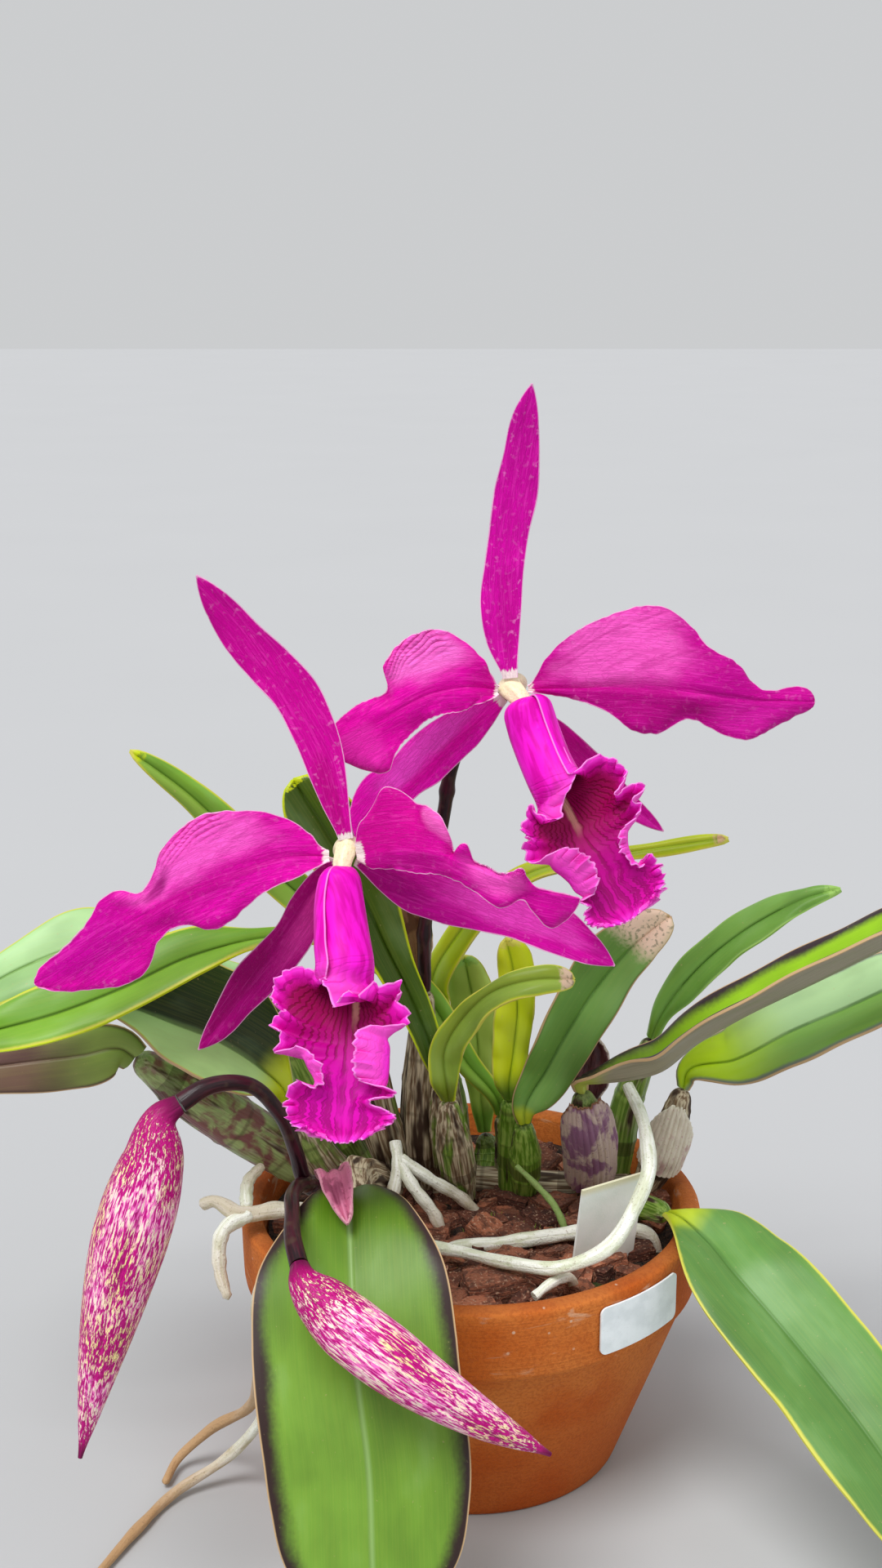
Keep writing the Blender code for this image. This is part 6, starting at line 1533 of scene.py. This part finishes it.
def pot_profile():
    """Radius and height from the middle of the foot, up the outside, over the rim and down to the floor."""
    corner = POT_CORNER
    shoulder = POT_HEIGHT - corner * 1.6
    profile = [
        (0.0, 0.0),
        (POT_FOOT_RADIUS - corner, 0.0),
        (POT_FOOT_RADIUS - corner * 0.3, corner * 0.3),
        (POT_FOOT_RADIUS, corner),
    ]
    for k in range(1, 8):
        part = k / 8
        profile.append((POT_FOOT_RADIUS + part * (POT_NECK_RADIUS - POT_FOOT_RADIUS),
                        corner + part * (POT_NECK - 2 * corner)))
    profile += [
        (POT_NECK_RADIUS, POT_NECK - corner),
        (POT_NECK_RADIUS + 0.0004, POT_NECK - corner * 0.5),
        (POT_BAND_FOOT_RADIUS - corner * 0.6, POT_NECK - corner * 0.3),
        (POT_BAND_FOOT_RADIUS - corner * 0.15, POT_NECK + corner * 0.1),
        (POT_BAND_FOOT_RADIUS, POT_NECK + corner),
        (POT_BAND_FOOT_RADIUS + 0.0002, POT_NECK + 0.007),
        (POT_RIM_RADIUS - 0.0002, POT_NECK + 0.015),
        (POT_RIM_RADIUS, shoulder),
    ]
    wall = (POT_RIM_RADIUS - POT_INNER_RIM_RADIUS) / 2
    middle = (POT_RIM_RADIUS + POT_INNER_RIM_RADIUS) / 2
    for k in range(1, 10):
        angle = math.pi * k / 10
        profile.append((middle + wall * math.cos(angle), shoulder + corner * 1.6 * math.sin(angle)))
    profile += [
        (POT_INNER_RIM_RADIUS, shoulder),
        (POT_INNER_NECK_RADIUS, POT_NECK),
        (POT_FLOOR_RADIUS, POT_FLOOR),
        (0.0, POT_FLOOR),
    ]
    return profile


def make_pot():
    """The turned pot with its drainage holes cut through the floor."""
    made = turned_mesh(pot_profile(), POT_SIDES)
    pot = add_piece("pot_turned", made, pot_look(), ["pot"], corner=POT_SHARP)
    cutters = []
    reach = Vector((0, 0, POT_FLOOR * 2))
    for k in range(DRAIN_HOLES):
        middle = around(DRAIN_CIRCLE_RADIUS, math.radians(30) + math.tau * k / DRAIN_HOLES)
        ends = [(middle - reach) / MM, (middle + reach) / MM]
        points, sides, _ = round_tube(ends, DRAIN_HOLE_RADIUS / MM, HOLE_SIDES, 2)
        mesh = bpy.data.meshes.new("hole")
        mesh.from_pydata([tuple(p) for p in points], [], sides)
        cutters.append(placed("hole", mesh))
    for hole in cutters:
        modifier = pot.modifiers.new("hole", "BOOLEAN")
        modifier.operation = "DIFFERENCE"
        modifier.solver = "EXACT"
        modifier.object = hole
    bpy.context.view_layer.update()
    ready = pot.evaluated_get(bpy.context.evaluated_depsgraph_get())
    mesh = bpy.data.meshes.new_from_object(ready)
    pot.modifiers.clear()
    pot.data = mesh
    mesh.set_sharp_from_angle(angle=math.radians(POT_SHARP))
    for hole in cutters:
        bpy.data.objects.remove(hole, do_unlink=True)


def mix_height(x, y):
    """Height of the mix's top: broad heaps with crumbs on them."""
    rise = 0.0
    for scale, layer, share in MIX_LAYERS:
        rise += share * uneven(x * scale, y * scale, layer)
    return MIX_LEVEL + MIX_RELIEF * rise


def soil_look():
    """Dark crumbs, partly painted shade between the bark chunks, with pale grains and patches of green."""
    look = Look("soil_crumb", 0.92)
    place = look.solid_place()
    crumb = look.noise(place, 0.55, 6.0)
    grain = look.noise(place, 1.8, 4.0)
    moss = look.noise(place, 0.06, 3.0)
    # Dark crumbs darkened further as painted shade in the gaps between the bark chunks.
    look.colour = look.mix(crumb.between(0.38, 0.62), shade(20, 14, 10), shade(62, 42, 30))
    look.over(grain.between(0.58, 0.68) * 0.7, shade(134, 104, 76))
    look.over(moss.between(0.54, 0.62) * 0.55, shade(70, 92, 24))
    return look.done(crumb + grain, 1.2)


def make_mix():
    """Soil that fills the pot to its holes, with a crumbled top."""
    side = [(inner_radius(height) - 2 * GAP, height) for height in (POT_FLOOR + GAP, POT_NECK, MIX_LEVEL)]
    top = [(side[-1][0] * i / MIX_RINGS, MIX_LEVEL) for i in range(MIX_RINGS - 1, -1, -1)]
    made = turned_mesh([(0.0, POT_FLOOR + GAP)] + side + top, MIX_SIDES)
    for vert in made[0][1 + len(side) * MIX_SIDES:]:
        vert.z = mix_height(vert.x, vert.y)
    add_piece("potting_mix_crumbled", made, soil_look(), ["potting_mix"])


def bark_look():
    """Flaked bark: each chunk its own brown, with layers, pale dust and darker cracks."""
    look = Look("bark_chunks", 0.88)
    place = look.mark("place")
    pick, dust, _ = look.parts("tint")
    layers = look.noise(place, (0.25, 0.25, 1.6), 4.0, 0.5)
    grain = look.noise(place, 1.2, 5.0)
    look.colour = look.mix(pick, shade(84, 42, 28), shade(172, 104, 74))
    look.over(layers.between(0.56, 0.42) * 0.6, shade(48, 26, 20))
    look.over(grain.between(0.56, 0.68) * dust, shade(196, 160, 132))
    look.over(grain.between(0.42, 0.3) * 0.7, shade(38, 24, 18))
    return look.done(layers + grain * 0.6, 0.9)


def bark_chunk(place, size, turn, seed):
    """One flaked block of bark: a box with moved corners, split and roughened."""
    work = bmesh.new()
    bmesh.ops.create_cube(work, size=2.0)
    draw = random.Random(seed)
    for vert in work.verts:
        vert.co = vert.co * draw.uniform(0.72, 1.05)
    bmesh.ops.subdivide_edges(work, edges=work.edges, cuts=4, use_grid_fill=True, smooth=0.12)
    work.normal_update()
    verts = []
    marks = []
    for vert in work.verts:
        spot = Vector((vert.co.x * size[0], vert.co.y * size[1], vert.co.z * size[2]))
        rough = noise.noise(spot * 420 + Vector((seed, 0, 0)))
        rough += 0.5 * noise.noise(spot * 1100 + Vector((0, seed, 0)))
        ledge = 0.4 * math.copysign(1.0, uneven(0.0, seed, spot.z * 900))
        moved = spot + vert.normal * (BARK_ROUGH * rough + BARK_LEDGE * ledge)
        verts.append(turn @ moved + place)
        marks.append(tuple(moved / MM + Vector((seed * 7.0, 0, 0))))
    faces = [tuple(vert.index for vert in face.verts) for face in work.faces]
    work.free()
    return verts, faces, marks


# Larger chunks of bark that show between the roots: place in millimetres, half sizes and turn about Z.
BARK_SHOWN = [((6, -44, 74), (9.5, 6.5, 4.0), 0.3), ((24, -38, 73), (9.0, 6.0, 3.4), -0.4),
    ((-2, -54, 72), (8.0, 4.5, 3.2), 0.1), ((10, -33, 74), (6.0, 5.0, 3.6), 1.0),
    ((38, -30, 73), (7.0, 5.0, 3.2), 0.6), ((55, 10, 73), (6.0, 5.0, 3.4), 0.2),
    ((-20, -44, 72), (8.0, 5.0, 3.4), -0.3), ((-36, -40, 72), (8.5, 5.5, 3.6), 0.5)]
# The smaller chunks, in metres: how far they keep from the wall, their half sizes, how flat they are, how
# far above the mix they lie, how far they tip in radians, and how rough and how stepped their faces are.
BARK_COUNT = 190
BARK_SEED = 23
BARK_CLEAR = 0.006
BARK_SIZE = (0.0022, 0.0062)
BARK_FLAT = 0.6
BARK_LIFT = (-0.001, 0.0016)
BARK_TIP = (-0.5, 0.5)
BARK_ROUGH = 0.0006
BARK_LEDGE = 0.0003
GOLDEN_TURN = math.pi * (3 - math.sqrt(5))


def make_bark():
    draw = random.Random(BARK_SEED)
    body = Mesh()
    jobs = []
    for place, size, turn in BARK_SHOWN:
        jobs.append((Vector(place) * MM, [value * MM for value in size], Matrix.Rotation(turn, 3, "Z")))
    for k in range(BARK_COUNT):
        reach = (inner_radius(MIX_LEVEL) - BARK_CLEAR) * math.sqrt((k + 0.5) / BARK_COUNT)
        size = [draw.uniform(*BARK_SIZE) for _ in range(3)]
        size[2] *= BARK_FLAT
        spot = around(reach, k * GOLDEN_TURN)
        spot.z = mix_height(spot.x, spot.y) + draw.uniform(*BARK_LIFT)
        turn = Matrix.Rotation(draw.uniform(0, math.tau), 3, "Z")
        turn = turn @ Matrix.Rotation(draw.uniform(*BARK_TIP), 3, "X")
        jobs.append((spot, size, turn))
    for number, (spot, size, turn) in enumerate(jobs):
        verts, faces, marks = bark_chunk(spot, size, turn, number * 1.37)
        tint = (draw.uniform(0.0, 1.0), draw.uniform(0.2, 0.9), 0.0)
        body.take(verts, faces, {"place": marks, "tint": [tint] * len(verts)})
    body.piece("bark_chunks", bark_look(), corner=35)


# Moss: patches on the mix by their middle, reach and count of shoots.
MOSS_PATCHES = [((-12, -30), 11, 150), ((-30, -26), 9, 90), ((10, -10), 12, 130), ((30, -4), 9, 80),
    ((-4, 40), 14, 120), ((-46, 24), 8, 60), ((46, 28), 8, 60), ((-4, -60), 5, 50)]
# The shoots, in metres: how tall and wide they are, how far their tips lean and how deep they stand.
MOSS_SEED = 5
SHOOT_HEIGHT = (0.0016, 0.0036)
SHOOT_WIDTH = (0.00035, 0.0007)
SHOOT_LEAN = 0.0012
SHOOT_DEPTH = 0.0006


def moss_look():
    look = Look("moss_green", 0.8)
    pick, tip, _ = look.parts("tint")
    look.colour = look.mix(pick, shade(58, 88, 16), shade(120, 150, 44))
    look.over(tip * 0.6, shade(166, 188, 74))
    return look.done()


def make_moss():
    """Short pointed shoots, each a small three-sided spire."""
    draw = random.Random(MOSS_SEED)
    body = Mesh()
    for middle, reach, count in MOSS_PATCHES:
        for _ in range(count):
            angle = draw.uniform(0, math.tau)
            away = reach * math.sqrt(draw.uniform(0, 1))
            x = (middle[0] + away * math.cos(angle)) * MM
            y = (middle[1] + away * math.sin(angle)) * MM
            foot = Vector((x, y, mix_height(x, y) - SHOOT_DEPTH))
            tall = draw.uniform(*SHOOT_HEIGHT)
            lean = [draw.uniform(-SHOOT_LEAN, SHOOT_LEAN) for _ in range(2)]
            tip = foot + Vector((*lean, tall))
            wide = draw.uniform(*SHOOT_WIDTH)
            verts = [foot + around(wide, angle + math.tau * k / 3) for k in range(3)] + [tip]
            pick = draw.uniform(0, 1)
            tint = [(pick, 0.0, 0.0)] * 3 + [(pick, 1.0, 0.0)]
            body.take(verts, [(0, 2, 1), (0, 1, 3), (1, 2, 3), (2, 0, 3)], {"tint": tint})
    body.piece("moss_shoots", moss_look(), corner=30)


def plastic_look():
    """White plastic of the plant tag, a little yellowed at the top and marked by soil."""
    look = Look("tag_plastic", 0.36)
    place = look.solid_place()
    _, _, z = look.parts(place)
    smear = look.noise(place, 0.1, 4.0)
    grit = look.noise(place, 1.5, 3.0)
    look.colour = look.mix(smear.between(0.35, 0.65), shade(234, 242, 236), shade(246, 250, 246))
    look.over(z.between(98.5, 101.0) * 0.6, shade(222, 210, 150))
    soiled = z.between(80.0, 68.0) + (grit - 0.5)
    look.over(soiled.between(0.3, 0.9) * 0.6, shade(150, 128, 100))
    return look.done(grit, 0.05)


def label_look():
    """A bare paper label with faint dust."""
    look = Look("label_paper", 0.5)
    place = look.solid_place()
    smear = look.noise(place, 0.16, 4.0)
    fibre = look.noise(place, (1.4, 1.4, 4.0), 3.0)
    look.colour = look.mix(smear.between(0.4, 0.66), shade(240, 247, 250), shade(226, 234, 237))
    look.over(fibre.between(0.62, 0.72) * 0.3, shade(190, 190, 182))
    return look.done(fibre, 0.05)


def make_label():
    """A thin plate with round corners that follows the rim band."""
    reach = POT_RIM_RADIUS + GAP + LABEL_THICKNESS / 2
    half = (LABEL_END - LABEL_START) * reach / 2

    def place(u, v):
        x = half * math.sin(math.pi / 2 * v)
        edge = max(0.0, abs(x) - (half - LABEL_CORNER)) / LABEL_CORNER
        inset = LABEL_CORNER * (1 - math.sqrt(max(0.0, 1 - edge * edge)))
        low = LABEL_BOTTOM + inset * 0.9
        high = LABEL_TOP - inset * 0.9
        return around(reach, (LABEL_START + LABEL_END) / 2 + x / reach, low + (high - low) * u), half

    made = skins(*sheet_grid(*LABEL_GRID, place), LABEL_TOP - LABEL_BOTTOM, LABEL_THICKNESS, 1.0, 0.0)
    add_piece("pot_label_rounded", made, label_look(), ["pot_label"])


def paint_tag():
    """Gives the plant tag's own solid its plastic."""
    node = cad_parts["plant_tag"]
    look = plastic_look()
    if not node.material_slots:
        node.data.materials.append(look)
    for material_slot in node.material_slots:
        material_slot.material = look


def make_stage():
    """A plain pale floor, soft light from above and in front, and the photograph's camera."""
    mesh = bpy.data.meshes.new("floor")
    far = FLOOR_REACH
    mesh.from_pydata([(-far, -far, 0), (far, -far, 0), (far, far, 0), (-far, far, 0)], [], [(0, 1, 2, 3)])
    look = Look("floor_pale", 0.95, 0.0)
    cloud = look.noise(look.solid_place(), 0.004, 2.0)
    look.colour = look.mix(cloud, (0.475, 0.48, 0.49), (0.49, 0.495, 0.505))
    mesh.materials.append(look.done())
    placed("floor", mesh)
    world = bpy.data.worlds.new("studio")
    world.use_nodes = True
    sky = world.node_tree.nodes["Background"]
    sky.inputs["Color"].default_value = (*SKY_COLOUR, 1.0)
    sky.inputs["Strength"].default_value = SKY_STRENGTH
    scene = bpy.context.scene
    scene.world = world
    for name, place, softness, strength in SUNS:
        light = bpy.data.lights.new(name, "SUN")
        light.angle = math.radians(softness)
        light.energy = strength
        item = placed(name, light)
        item.location = place
        item.rotation_euler = Vector(place).to_track_quat("Z", "Y").to_euler()
    camera = placed("camera", bpy.data.cameras.new("camera"))
    camera.data.lens = CAMERA_LENS
    camera.data.sensor_width = CAMERA_SENSOR
    camera.location = CAMERA_PLACE
    camera.rotation_euler = (math.pi / 2 - CAMERA_DOWN, 0, 0)
    scene.camera = camera
    scene.view_settings.view_transform = "Standard"


def main():
    make_stage()
    make_pot()
    make_mix()
    make_bark()
    make_moss()
    make_label()
    paint_tag()
    make_bulbs()
    make_roots()
    make_sheaths()
    make_leaves()
    make_stems()
    make_buds()
    make_columns()
    make_tepals()
    make_lips()


main()
